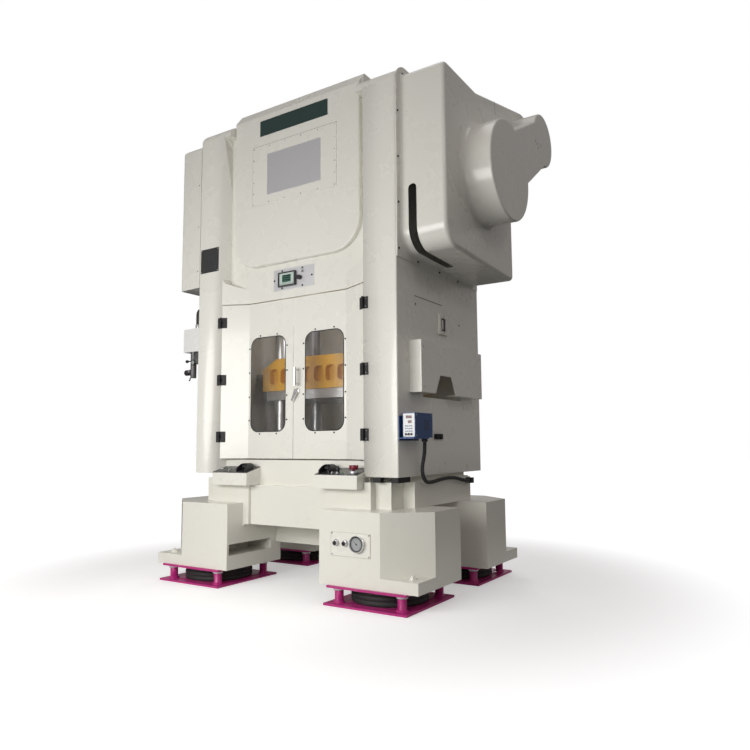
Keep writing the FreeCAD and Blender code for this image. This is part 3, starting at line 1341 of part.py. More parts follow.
def button_hood(middle, front, low, face):
    """A round-shouldered hood, open to the front, round a palm button; it still reaches into the box."""
    half = s.guard_wide / 2
    rear = front + s.button_back + half * 0.9
    top = face + s.guard_high
    hood = plain_body("button_hood")
    pad(hood, "front", front + 8, rear, box_loop(middle - half, low, middle + half, top))
    fillet(hood, s.guard_rounding,
           straight_edges(hood.Shape, "y", (middle - half, top), (middle + half, top)))
    inner, ceiling = half - s.guard_thick, top - s.guard_thick
    room = plain_body("button_room")
    pad(room, "front", front - 20, rear - s.guard_thick,
        box_loop(middle - inner, low - 20, middle + inner, ceiling))
    fillet(room, s.guard_rounding - s.guard_thick,
           straight_edges(room.Shape, "y", (middle - inner, ceiling), (middle + inner, ceiling)))
    slant = plain_body("button_slant")
    pad(slant, "side", middle - half - 1, middle + half + 1,
        [(front, face + 6), (front + 8, face + 6), (front + s.button_back - 4, top + 1), (front, top + 1)])
    return cut("button_hood_open", hood, room, slant)


def make_consoles():
    front = -s.frame_depth / 2 - s.console_front
    back = -s.frame_depth / 2 + s.apron_setback
    low = s.ledge_top
    boxes, plates, hoods = [], [], []
    for side in SIDES:
        inner, outer = CONSOLE_INNER * side, CONSOLE_OUTER * side
        left, right = (inner, outer) if side > 0 else (outer, inner)
        top_front, top_back = low + s.console_tall, low + s.console_tall + s.console_rise
        case = plain_body("console_case")
        pad(case, "side", left, right, [(front, low), (back, low), (back, top_back), (front, top_front)])
        plate = plain_body("console_plate")
        pad(plate, "side", left, right,
            [(front, top_front), (back, top_back), (back, top_back + s.console_top_plate),
             (front, top_front + s.console_top_plate)])
        well = rod("button_well", "z", s.stem_radius + s.stem_gap, (CONSOLE_INNER + s.button_in) * side,
                   front + s.button_back, low + 20, s.console_tall + s.console_rise)
        wells = [well]
        if side > 0:
            for x in (CONSOLE_OUTER - s.stop_in, CONSOLE_INNER + s.selector_in):
                wells.append(rod("stem_well", "z", s.stem_radius + s.stem_gap, x, front + s.button_back,
                                 low + 20, s.console_tall + s.console_rise))
        boxes.append(cut("operator_box", case, *wells))
        plates.append(cut("console_top", plate, *wells))
        middle = (CONSOLE_INNER + s.button_in) * side
        base_z = top_front + (top_back - top_front) * 0.45 + s.console_top_plate
        hoods.append(button_hood(middle, front, top_front, base_z))
    group("operator_boxes", *boxes)
    group("console_plates", *plates)
    seat = fused("both_plates", *plates)
    clear = fused("both_boxes", *boxes)
    group("button_guards", *[cut("button_guard", hood, seat, clear) for hood in hoods])
    plate_rise = s.console_rise * 0.45 + s.console_top_plate
    face = low + s.console_tall + plate_rise
    for name, side in (("palm_button_left", -1), ("palm_button_right", 1)):
        push_button(name, (CONSOLE_INNER + s.button_in) * side, front + s.button_back, face,
                    s.button_radius, s.button_tall)
    push_button("stop_button", CONSOLE_OUTER - s.stop_in, front + s.button_back, face, s.stop_radius,
                s.button_tall + 8)
    x = CONSOLE_INNER + s.selector_in
    dial = rod("selector_dial", "z", s.selector_radius, x, front + s.button_back,
               face + s.button_travel, 18)
    stem = rod("selector_stem", "z", s.stem_radius, x, front + s.button_back, low + 24,
               face + s.button_travel - low)
    keep("selector_switch", fused("selector_switch", dial, stem))


def push_button(name, x, y, face, radius, tall):
    cap = rod("button_cap", "z", radius, x, y, face + s.button_travel * 2, tall)
    stem = rod("button_stem", "z", s.stem_radius, x, y, s.ledge_top + 20 + s.button_travel * 2,
               face - s.ledge_top)
    keep(name, fused(name, cap, stem))


def make_display():
    flat = s.bay_setback - s.frame_depth / 2
    left = s.display_x - s.display_wide / 2
    plate = new_body("display_panel")
    pad(plate, "front", flat - s.sheet, flat,
        box_loop(left, s.display_bottom, left + s.display_wide, s.display_bottom + s.display_tall))
    face = flat - s.sheet
    unit = new_body("display_unit")
    unit_right, unit_top = s.unit_left + s.unit_wide, s.unit_bottom + s.unit_tall
    pad(unit, "front", face - s.unit_out, face, box_loop(s.unit_left, s.unit_bottom, unit_right, unit_top))
    pocket(unit, "front", face - s.unit_out, face - s.unit_out + 4,
           box_loop(s.unit_left + s.unit_rim, s.unit_bottom + s.unit_rim, unit_right - s.unit_rim,
                    unit_top - s.unit_rim))
    knob = rod("knob_body", "y", s.knob_radius, s.knob_x, face - s.knob_out, s.knob_height,
               s.knob_out - 0.3)
    keep("display_knob", knob)


def make_side_fittings():
    side = SIDE
    front = -s.monitor_front
    case = new_body("monitor_case")
    right = (SIDE + s.monitor_gap) + s.monitor_wide
    pad(case, "top", s.monitor_bottom, s.monitor_bottom + s.monitor_tall,
        box_loop((SIDE + s.monitor_gap), front, right, front + s.monitor_deep))
    fillet(case, 3, straight_edges(case.Shape, "z", (right, front), (right, front + s.monitor_deep)))
    low = s.monitor_bottom - s.bracket_drop
    plate = block("bracket_plate", side, front - s.bracket_lead, low, side + s.bracket_thick,
                  front + s.monitor_deep, s.monitor_bottom + s.monitor_tall - 15)
    arm = block("bracket_arm", side, front + 20, s.monitor_bottom + 30, (SIDE + s.monitor_gap),
                front + s.monitor_deep - 20, s.monitor_bottom + s.monitor_tall - 30)
    shelf = block("bracket_shelf", side, front - s.bracket_lead, s.monitor_bottom - s.bracket_shelf, right,
                  front - s.bracket_lead + s.bracket_shelf_deep, s.monitor_bottom)
    keep("monitor_bracket", fused("monitor_bracket", plate, arm, shelf))
    half = s.gauge_glass_wide / 2
    glass = new_body("sight_glass")
    top = s.gauge_glass_bottom + s.gauge_glass_tall
    pad(glass, "side", side, side + s.gauge_glass_out, box_loop(-half, s.gauge_glass_bottom, half, top))
    rim = s.gauge_glass_rim
    pocket(glass, "side", side + 6, side + s.gauge_glass_out,
           box_loop(rim - half, s.gauge_glass_bottom + rim, half - rim, top - rim))


def tube_along(points, radius):
    """Straight runs joined by tangent arcs, and the pipe swept along them."""
    edges = []
    start = points[0]
    radii = []
    for before, corner, after in zip(points, points[1:], points[2:]):
        into = (corner - before).normalize()
        out = (after - corner).normalize()
        half_turn = into.getAngle(out) / 2
        shorter = min((corner - before).Length, (after - corner).Length)
        reach = 0.45 * shorter
        bend = reach / math.tan(half_turn)
        radii.append(bend)
        first, last = corner - into * reach, corner + out * reach
        inward = (out - into).normalize()
        centre = corner + inward * (bend / math.cos(half_turn))
        middle = centre - inward * bend
        edges.append(Part.LineSegment(start, first).toShape())
        edges.append(Part.Arc(first, middle, last).toShape())
        start = last
    edges.append(Part.LineSegment(start, points[-1]).toShape())
    path = Part.Wire(edges)
    profile = Part.Wire([Part.Circle(points[0], points[1] - points[0], radius).toShape()])
    tube = path.makePipeShell([profile], True, False)
    return tube, path.Length, radii


# The conduit leaves the monitor's underside, bends to the rear and enters the bed's side. Each point is
# given from the upright's side and from the monitor's underside.
CONDUIT_ROUTE = [(55, -340, -22.3), (55, -340, -70), (50, -347, -119), (42, -352, -171), (37, -329, -218.5),
                 (32.5, -285, -247.5), (29, -231.5, -250.5), (27, -173, -247), (26, -113, -241),
                 (26, -52, -237), (26, 11, -235.5), (26, 74, -238), (26, 133, -245), (26, 189, -256.5),
                 (26, 240, -264), (26, 289.7, -264)]


def make_conduit():
    points = [V(SIDE.number + x, y, s.monitor_bottom.number + z) for x, y, z in CONDUIT_ROUTE]
    tube, length, radii = tube_along(points, s.conduit_radius.number)
    feature = doc.addObject("Part::Feature", "conduit")
    feature.Shape = tube
    keep("conduit", feature)
    print("conduit length %.1f, volume share %.4f, radii %s" % (
        length, tube.Volume / (math.pi * s.conduit_radius.number ** 2 * length),
        [round(r) for r in radii]))
    x, y, z = CONDUIT_ROUTE[0]
    gap = 0.3
    top = rod("gland_top", "z", s.gland_radius, SIDE + x, y, s.monitor_bottom + z + gap, -z - gap)
    x, y, z = CONDUIT_ROUTE[-1]
    level = s.monitor_bottom + z
    elbow = block("gland_elbow", SIDE, y + gap, level - s.gland_radius, SIDE + x + s.gland_radius,
                  y + gap + s.gland_radius * 2, level + s.gland_radius)
    group("conduit_glands", top, elbow)


def make_air_unit():
    side = -SIDE
    front = -AIR_FRONT
    back = -s.feed_guard_depth / 2 - s.air_box_gap
    box = new_body("air_box")
    outer = side - s.air_box_wide
    pad(box, "top", s.air_box_bottom, s.air_box_bottom + s.air_box_tall,
        box_loop(outer, front, side, back))
    fillet(box, 6, straight_edges(box.Shape, "z", (outer, front), (outer, back)))
    x, y = -VALVE_X, -VALVE_Y
    body = rod("valve_body", "z", s.valve_radius, x, y, s.air_box_bottom - s.valve_long, s.valve_long)
    arm = block("valve_bracket", x, y - 14, s.air_box_bottom - 55, side, y + 14, s.air_box_bottom)
    gauge = rod("valve_gauge", "y", 24, x + 42, y - 22, s.air_box_bottom - 62, 22)
    stem = block("valve_gauge_stem", x, y - 8, s.air_box_bottom - 70, x + 42, y + 8, s.air_box_bottom - 54)
    keep("regulator", fused("regulator", body, arm, gauge, stem))
    knob = rod("dial_knob", "x", s.dial_knob_radius, x - s.valve_radius - s.dial_knob_long - 0.3, y,
               s.air_box_bottom - s.dial_knob_down, s.dial_knob_long)
    keep("regulator_knob", knob)


def make_hose():
    """The air hose leaves the upright, bends down and enters the air box from above."""
    x, y = VALVE_X.number, (AIR_FRONT - s.hose_back).number
    foot, top = (AIR_TOP + s.hose_fitting_tall).number, (AIR_TOP + s.hose_tall).number
    points = [V(-SIDE.number, -y, top), V(-x, -y, top), V(-x, -y, foot)]
    tube, length, radii = tube_along(points, s.hose_radius.number)
    feature = doc.addObject("Part::Feature", "inlet_hose")
    feature.Shape = tube
    fitting = rod("hose_fitting", "z", s.hose_radius + 4, -VALVE_X, s.hose_back - AIR_FRONT, AIR_TOP,
                  s.hose_fitting_tall)
    keep("inlet_hose", feature)
    keep("hose_fitting", fitting)
    print("hose length %.1f, radii %s" % (length, [round(r) for r in radii]))


def make_service_panel():
    front = -s.foot_front
    left = FOOT_INNER + s.service_in - s.service_wide / 2
    plate = new_body("service_panel")
    pad(plate, "front", front - s.service_thick, front,
        box_loop(left, s.service_bottom, left + s.service_wide, s.service_bottom + s.service_tall))
    face = front - s.service_thick
    keep("pressure_gauge", rod("pressure_gauge", "y", s.dial_radius, FOOT_INNER + s.dial_in,
                               face - s.dial_out, s.dial_height, s.dial_out))


make_bed()
make_upright("left_upright", -1)
make_upright("right_upright", 1)
make_crown()
make_tie_rods()
make_isolators()
make_bolster()
make_slide()
make_ram_plate()
make_guide_posts()
make_connecting_rods()
make_crankshaft()
make_main_bearings()
make_flywheel()
make_motor()
make_belts()
make_fascia()
make_rear_panel()
make_door("left_door", -1)
make_door("right_door", 1)
make_hinges()
make_handle_and_latch()
make_hood("front_hood", -1)
make_hood("rear_hood", 1)
make_inspection_cover()
make_flywheel_cover()
make_left_cover()
group("feed_guards", feed_guard(-1), feed_guard(1))
make_consoles()
make_display()
make_side_fittings()
make_conduit()
make_air_unit()
make_hose()
make_service_panel()
doc.recompute()

for thing in doc.Objects:
    if "Invalid" in thing.State or "Error" in thing.State:
        raise RuntimeError("%s did not compute" % thing.Label)
for name, thing in pieces.items():
    if thing.Shape.isNull() or not thing.Shape.isValid() or not thing.Shape.Solids:
        raise RuntimeError("%s is not a sound solid" % name)

os.makedirs("parts", exist_ok=True)
for name, thing in pieces.items():
    thing.Shape.exportStep("parts/%s.step" % name)
print("%d pieces written" % len(pieces))
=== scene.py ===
import json
import math

import bmesh
import bpy
import numpy as np
from mathutils import Matrix, Vector

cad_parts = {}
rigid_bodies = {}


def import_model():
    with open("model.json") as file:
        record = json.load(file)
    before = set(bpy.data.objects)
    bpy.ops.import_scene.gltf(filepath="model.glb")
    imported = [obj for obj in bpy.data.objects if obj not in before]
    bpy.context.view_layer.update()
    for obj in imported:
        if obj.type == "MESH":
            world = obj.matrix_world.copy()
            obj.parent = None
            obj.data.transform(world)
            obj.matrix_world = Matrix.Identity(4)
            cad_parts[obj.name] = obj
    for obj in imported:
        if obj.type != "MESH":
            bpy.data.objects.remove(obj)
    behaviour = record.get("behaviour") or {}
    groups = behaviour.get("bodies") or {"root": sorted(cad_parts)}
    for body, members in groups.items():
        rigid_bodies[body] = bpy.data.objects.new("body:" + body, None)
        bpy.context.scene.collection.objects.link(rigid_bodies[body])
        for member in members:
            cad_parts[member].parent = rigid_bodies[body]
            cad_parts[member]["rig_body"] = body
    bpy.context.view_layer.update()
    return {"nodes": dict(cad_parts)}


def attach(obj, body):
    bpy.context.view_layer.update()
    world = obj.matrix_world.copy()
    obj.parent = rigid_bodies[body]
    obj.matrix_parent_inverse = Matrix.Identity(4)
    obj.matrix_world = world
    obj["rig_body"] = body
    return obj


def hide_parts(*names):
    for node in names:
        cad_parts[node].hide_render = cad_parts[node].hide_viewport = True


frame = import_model()

bl_info = {
    "name": "Stamping Press Dress",
    "version": (1, 0, 0),
    "blender": (4, 5, 0),
    "location": "View3D > Sidebar > Press",
    "description": "Paint, plates, fasteners and fittings for a straight-sided stamping press",
    "category": "Object",
}

# Planes of the press, in metres: those that face the front, at a Y, and those that face the right, at an X.
COLUMN_FRONT = -0.535
BAY_FRONT = -0.457
HOOD_FRONT = -0.49
INSPECTION_FRONT = HOOD_FRONT - 0.003
DISPLAY_FRONT = BAY_FRONT - 0.004
CONTROLLER_FRONT = DISPLAY_FRONT - 0.016
MONITOR_FRONT = -0.511
FOOT_FRONT = -0.666
SERVICE_FRONT = FOOT_FRONT - 0.003
GAUGE_FRONT = FOOT_FRONT - 0.019
SIDE = 0.774
SIGHT_SIDE = SIDE + 0.006
COVER_RIM = 0.78
GUARD_SIDE = 0.85
MONITOR_SIDE = 0.868
COVER_SIDE = 1.061
COVER_LOBE = 1.245

# The operator boxes' plates: their front edge (y, z), and how much they rise to the back.
CONSOLE_EDGE_Y, CONSOLE_EDGE_Z, CONSOLE_RISE = -0.598, 0.679, 0.26
# Middles of small parts, and of the windows and the hinge leaves.
GAUGE_MIDDLE = (0.604, GAUGE_FRONT, 0.33)
SIGHT_Z = 1.5675
DATA_PLATE_X, DATA_PLATE_Z = -0.676, 2.0765
AIR_Y = -0.505
MONITOR_X, CONTROLLER_X = 0.829, -0.06
WINDOW_X, WINDOW_Z = 0.221, 1.2295
HINGE_X, HINGE_HEIGHTS = 0.573, (0.901, 1.266, 1.64)
# Isolators, from the press's middle; their posts, from an isolator's; and the foot and height of the rubber.
ISOLATOR_X, ISOLATOR_Y = 0.65, 0.428
POST_X, POST_Y = 0.195, 0.202
RUBBER_FOOT, RUBBER_HEIGHT = 0.012, 0.079
# The camera solved from the photo: yaw, pitch and roll in degrees, and its place.
CAMERA_TURN = (32.8, 5.9, -0.4)
CAMERA_SPOT = (2.6125, -3.6101, 0.8487)

# Each way of facing: the two directions along the surface and the one out of it.
FACINGS = {
    "front": ((1, 0, 0), (0, 0, 1), (0, -1, 0)),
    "right": ((0, 1, 0), (0, 0, 1), (1, 0, 0)),
    "left": ((0, -1, 0), (0, 0, 1), (-1, 0, 0)),
    "top": ((1, 0, 0), (0, 1, 0), (0, 0, 1)),
}


# -------- shapes


def circle_loop(radius, count):
    """A circle: radius times (cos a, sin a) at even steps of a."""
    a = np.linspace(0, 2 * np.pi, count, endpoint=False)
    return radius * np.stack([np.cos(a), np.sin(a)], -1)


def rounded_loop(width, height, radius, corner):
    """A rectangle whose corners are quarter circles: corner centre plus radius times (cos a, sin a)."""
    a = np.arange(4)[:, None] * np.pi / 2 + np.linspace(0, np.pi / 2, corner)
    signs = np.array([[1, 1], [-1, 1], [-1, -1], [1, -1]])
    centres = signs * [width / 2 - radius, height / 2 - radius]
    return (centres[:, None] + radius * np.stack([np.cos(a), np.sin(a)], -1)).reshape(-1, 2)


def lifted(loop, height):
    """A flat loop of (x, y) set at a height."""
    return np.column_stack([loop, np.full(len(loop), height)])


def closed_form(stack):
    """Rings (k, n, 3) joined in order by quads, with a face across the first and the last ring."""
    k, n = stack.shape[:2]
    index = np.arange(k * n).reshape(k, n)
    turned = np.roll(index, -1, axis=1)
    quads = np.stack([index[:-1], turned[:-1], turned[1:], index[1:]], -1).reshape(-1, 4)
    return stack.reshape(-1, 3), [quads, index[:1, ::-1], index[-1:]]


def ring_form(stack):
    """Rings (k, n, 3) joined in order and the last to the first, as a closed ring."""
    k, n = stack.shape[:2]
    index = np.arange(k * n).reshape(k, n)
    after = np.roll(index, -1, axis=0)
    quads = np.stack([index, np.roll(index, -1, 1), np.roll(after, -1, 1), after], -1).reshape(-1, 4)
    return stack.reshape(-1, 3), [quads]


def plate(width, height, thick, radius=0.004, edge=0.001, corner=5):
    """A flat plate: the rounded rectangle drawn in by a small round over its upper edge."""
    steps = [(0, 0), (0, thick - edge), (edge * 0.3, thick - edge * 0.3), (edge, thick)]
    return closed_form(np.stack([
        lifted(rounded_loop(width - 2 * i, height - 2 * i, max(radius - i, 1e-4), corner), h) for i, h in steps]))


def turned(profile, count=24):
    """A turned part: every (radius, height) of the profile becomes a circle."""
    return closed_form(np.stack([lifted(circle_loop(r, count), h) for r, h in profile]))


def turned_ring(profile, count=32):
    """A turned part with a hole: its last circle is joined to its first."""
    return ring_form(np.stack([lifted(circle_loop(r, count), h) for r, h in profile]))


def frame_form(width, height, radius, wall, thick, edge=0.001, corner=8):
    """A flat frame: the outline and its copy drawn in by the wall, each rounded over at the top."""
    steps = [(0, 0), (0, thick - edge), (edge, thick), (wall - edge, thick), (wall, thick - edge), (wall, 0)]
    return ring_form(np.stack([
        lifted(rounded_loop(width - 2 * i, height - 2 * i, max(radius - i, 5e-4), corner), h) for i, h in steps]))


def cap_screw(r, h, count=14):
    """A round screw head of radius r and height h: a turned profile that dips in the middle."""
    return turned([(r, 0), (r, h * 0.65), (r * 0.86, h), (r * 0.52, h), (r * 0.46, h * 0.45)], count)


def hex_nut(radius, height):
    """A hexagon whose sides lean in over its last part, to nine tenths at the top."""
    return turned([(radius, 0), (radius, height * 0.85), (radius * 0.9, height)], 6)


def moved(form, y=0.0, z=0.0):
    """A form shifted up and outwards in its own axes."""
    points, faces = form
    return points + np.array([0, y, z]), faces


def joined(*forms):
    """Several forms as one: their points in a row, with each one's faces counted on from the last."""
    points, faces, start = [], [], 0
    for spots, groups in forms:
        points.append(spots)
        faces += [g + start for g in groups]
        start += len(spots)
    return np.concatenate(points), faces


def set_on(form, facing, spots):
    """Copies of a form on a surface: spot plus x along, y up and z out of it, for every spot."""
    points, faces = form
    basis = np.array(FACINGS[facing], float)
    spots = np.atleast_2d(np.array(spots, float))
    placed = (points @ basis)[None] + spots[:, None]
    shift = (np.arange(len(spots)) * len(points))[:, None, None]
    return placed.reshape(-1, 3), [(g[None] + shift).reshape(-1, g.shape[1]) for g in faces]


def tube(path, radii, sides):
    """A round tube: circles of the given radii about a path, square to it, carried without twist."""
    path = np.asarray(path, float)
    along = np.gradient(path, axis=0)
    along /= np.linalg.norm(along, axis=1)[:, None]
    helper = np.array([1.0, 0, 0]) if abs(along[:, 0]).max() < 0.9 else np.array([0, 0, 1.0])
    first = np.cross(along, helper)
    first /= np.linalg.norm(first, axis=1)[:, None]
    second = np.cross(along, first)
    loop = circle_loop(1.0, sides)
    radii = np.broadcast_to(radii, len(path))
    rings = (path[:, None] + radii[:, None, None]
             * (loop[None, :, :1] * first[:, None] + loop[None, :, 1:] * second[:, None]))
    return closed_form(rings)


def strip(path, width_way, out_way, width, height):
    """A low strip: a chamfered section, width by height, carried along a path."""
    path = np.asarray(path, float)
    w = np.array(width_way, float) * width / 2
    o = np.array(out_way, float) * height
    section = [-w, -w + o * 0.7, -w * 0.7 + o, w * 0.7 + o, w + o * 0.7, w]
    return closed_form(path[:, None] + np.array(section)[None])


def add_object(name, data):
    """A new object, linked to the scene."""
    item = bpy.data.objects.new(name, data)
    bpy.context.scene.collection.objects.link(item)
    return item


def turn_outwards(mesh, merge=None):
    """Turns a mesh's faces outwards, first merging points nearer than a given distance."""
    work = bmesh.new()
    work.from_mesh(mesh)
    if merge:
        bmesh.ops.remove_doubles(work, verts=work.verts, dist=merge)
    bmesh.ops.recalc_face_normals(work, faces=work.faces)
    work.to_mesh(mesh)
    work.free()


def shade_round(mesh, degrees):
    """Shades a mesh round, except over edges sharper than an angle."""
    mesh.polygons.foreach_set("use_smooth", np.ones(len(mesh.polygons), bool))
    mesh.set_sharp_from_angle(angle=math.radians(degrees))


def place_piece(name, form, material, body="frame", smooth=None):
    """Makes one mesh object of a form, with its normals outwards, riding on a body."""
    points, faces = form
    mesh = bpy.data.meshes.new(name)
    mesh.from_pydata(points.tolist(), [], [f for group in faces for f in group.tolist()])
    turn_outwards(mesh)
    mesh.materials.append(finish(material))
    if smooth:
        shade_round(mesh, smooth)
    piece = add_object(name, mesh)
    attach(piece, body)
    return piece


def fit_piece(name, form, facing, spots, material, body="frame", smooth=None):
    """Makes one object of a form set on a surface at every spot."""
    place_piece(name, set_on(form, facing, spots), material, body, smooth)


def screw_piece(name, facing, spots, radius, height, count=14, material="bright_metal"):
    """Makes one object of the same round screw at every spot."""
    fit_piece(name, cap_screw(radius, height, count), facing, spots, material)


# -------- finishes


class Graph:
    """Adds nodes to a material or a group and wires them."""

    def __init__(self, tree):
        self.tree = tree

    def add(self, kind, settings=None, **inputs):
        node = self.tree.nodes.new(kind)
        for key, value in (settings or {}).items():
            setattr(node, key, value)
        for key, value in inputs.items():
            self.feed(node.inputs[key.replace("_", " ")], value)
        return node

    def feed(self, socket, value):
        if isinstance(value, bpy.types.NodeSocket):
            self.tree.links.new(value, socket)
        else:
            socket.default_value = value

    def math(self, operation, a, b=0.0, clamp=False):
        node = self.add("ShaderNodeMath", {"operation": operation, "use_clamp": clamp})
        self.feed(node.inputs[0], a)
        self.feed(node.inputs[1], b)
        return node.outputs[0]

    def times(self, a, b, clamp=False):
        return self.math("MULTIPLY", a, b, clamp)

    def mix(self, factor, a, b):
        node = self.add("ShaderNodeMix", {"data_type": "RGBA"})
        self.feed(node.inputs[0], factor)
        self.feed(node.inputs[6], a)
        self.feed(node.inputs[7], b)
        return node.outputs[2]

    def spread(self, value, low, high, to_low=0.0, to_high=1.0):
        return self.add("ShaderNodeMapRange", {"interpolation_type": "SMOOTHSTEP"}, Value=value, From_Min=low,
                        From_Max=high, To_Min=to_low, To_Max=to_high).outputs["Result"]

    def noise(self, vector, scale, detail=3.0, rough=0.5):
        node = self.add("ShaderNodeTexNoise", Vector=vector, Scale=scale, Detail=detail, Roughness=rough)
        return node.outputs["Fac"]

    def bump(self, strength, distance, height):
        node = self.add("ShaderNodeBump", Strength=strength, Distance=distance, Height=height)
        return node.outputs["Normal"]

    def seen(self):
        """1 for rays from the camera, straight or through a clear pane."""
        rays = self.add("ShaderNodeLightPath").outputs
        return self.math("MAXIMUM", rays["Is Camera Ray"], rays["Is Transmission Ray"])

    def place(self, scale=None):
        coords = self.add("ShaderNodeTexCoord").outputs["Object"]
        if scale is None:
            return coords
        return self.add("ShaderNodeMapping", Vector=coords, Scale=scale).outputs["Vector"]


COLOR, FLOAT, VECTOR = "NodeSocketColor", "NodeSocketFloat", "NodeSocketVector"


def new_group(name, inputs):
    """A node group that gives a colour, a roughness and a normal, and what its builder wires."""
    tree = bpy.data.node_groups.new(name, "ShaderNodeTree")
    for label, kind in inputs:
        tree.interface.new_socket(label, in_out="INPUT", socket_type=kind)
    for label, kind in (("Color", COLOR), ("Roughness", FLOAT), ("Normal", VECTOR)):
        tree.interface.new_socket(label, in_out="OUTPUT", socket_type=kind)
    graph = Graph(tree)
    return tree, graph, tree.nodes.new("NodeGroupInput").outputs, tree.nodes.new("NodeGroupOutput").inputs


def new_material(name):
    """A material, the graph that wires it, and its shader."""
    material = bpy.data.materials.new(name)
    material.use_nodes = True
    return material, Graph(material.node_tree), material.node_tree.nodes["Principled BSDF"]


def enamel_group():
    """Sprayed enamel: slow drift in tone, faint runs, orange peel, and shop dust low down."""
    tree, g, given, out = new_group("sprayed_enamel", [
        ("Paint", COLOR), ("Deep Tone", COLOR), ("Dust", COLOR), ("Dust Amount", FLOAT), ("Peel", FLOAT),
        ("Gloss", FLOAT)])
    spot = g.place()
    drift = g.spread(g.noise(spot, 1.4, 1.5), 0.3, 0.7)
    runs = g.spread(g.noise(g.place((9, 9, 0.8)), 3.0, 3.0), 0.45, 0.75)
    tone = g.mix(g.times(drift, 0.3), given["Paint"], given["Deep Tone"])
    tone = g.mix(g.times(runs, 0.12), tone, given["Deep Tone"])
    height = g.add("ShaderNodeSeparateXYZ", Vector=spot).outputs["Z"]
    low = g.spread(height, 0.15, 1.1, 1.0, 0.0)
    specks = g.spread(g.noise(spot, 23.0, 8.0, 0.7), 0.52, 0.72)
    smear = g.spread(g.noise(spot, 4.5, 5.0, 0.6), 0.42, 0.7)
    amount = g.times(g.times(specks, smear), g.math("ADD", g.times(low, 0.8), 0.2))
    amount = g.times(amount, given["Dust Amount"], clamp=True)
    g.feed(out["Color"], g.mix(amount, tone, given["Dust"]))
    rough = g.math("ADD", given["Gloss"], g.times(g.math("SUBTRACT", smear, 0.3), 0.03))
    g.feed(out["Roughness"], g.math("ADD", rough, g.times(amount, 0.3), clamp=True))
    g.feed(out["Normal"], g.bump(given["Peel"], 0.004, g.noise(spot, 140.0, 2.0)))
    return tree


def grain_group():
    """Moulded plastic or rubber: a fine pebble, and wear that lightens it a little."""
    tree, g, given, out = new_group("moulded_grain", [
        ("Base", COLOR), ("Worn", COLOR), ("Pebble", FLOAT), ("Scale", FLOAT), ("Gloss", FLOAT)])
    spot = g.place()
    worn = g.spread(g.noise(spot, 38.0, 6.0, 0.65), 0.5, 0.8)
    g.feed(out["Color"], g.mix(g.times(worn, 0.6), given["Base"], given["Worn"]))
    g.feed(out["Roughness"], g.math("ADD", given["Gloss"], g.times(worn, 0.15), clamp=True))
    g.feed(out["Normal"], g.bump(given["Pebble"], 0.0006, g.noise(spot, given["Scale"], 2.0)))
    return tree


def machined_group():
    """Ground or turned metal: fine parallel marks, patches of oil, and a little tarnish."""
    tree, g, given, out = new_group("machined_metal", [
        ("Metal", COLOR), ("Tarnish", COLOR), ("Marks", FLOAT), ("Gloss", FLOAT), ("Tarnish Amount", FLOAT)])
    marks = g.noise(g.place((4, 60, 240)), 8.0, 4.0, 0.6)
    patches = g.spread(g.noise(g.place(), 9.0, 6.0, 0.65), 0.42, 0.75)
    amount = g.times(patches, given["Tarnish Amount"])
    g.feed(out["Color"], g.mix(amount, given["Metal"], given["Tarnish"]))
    rough = g.math("ADD", given["Gloss"], g.times(g.math("SUBTRACT", marks, 0.5), 0.2))
    g.feed(out["Roughness"], g.math("ADD", rough, g.times(amount, 0.2), clamp=True))
    g.feed(out["Normal"], g.bump(given["Marks"], 0.0004, marks))
    return tree


GROUPS = {"enamel": enamel_group, "grain": grain_group, "machined": machined_group}
made_groups = {}


def coat(weight, roughness):
    """Values of a shader with a clear coat."""
    return {"Coat Weight": weight, "Coat Roughness": roughness}


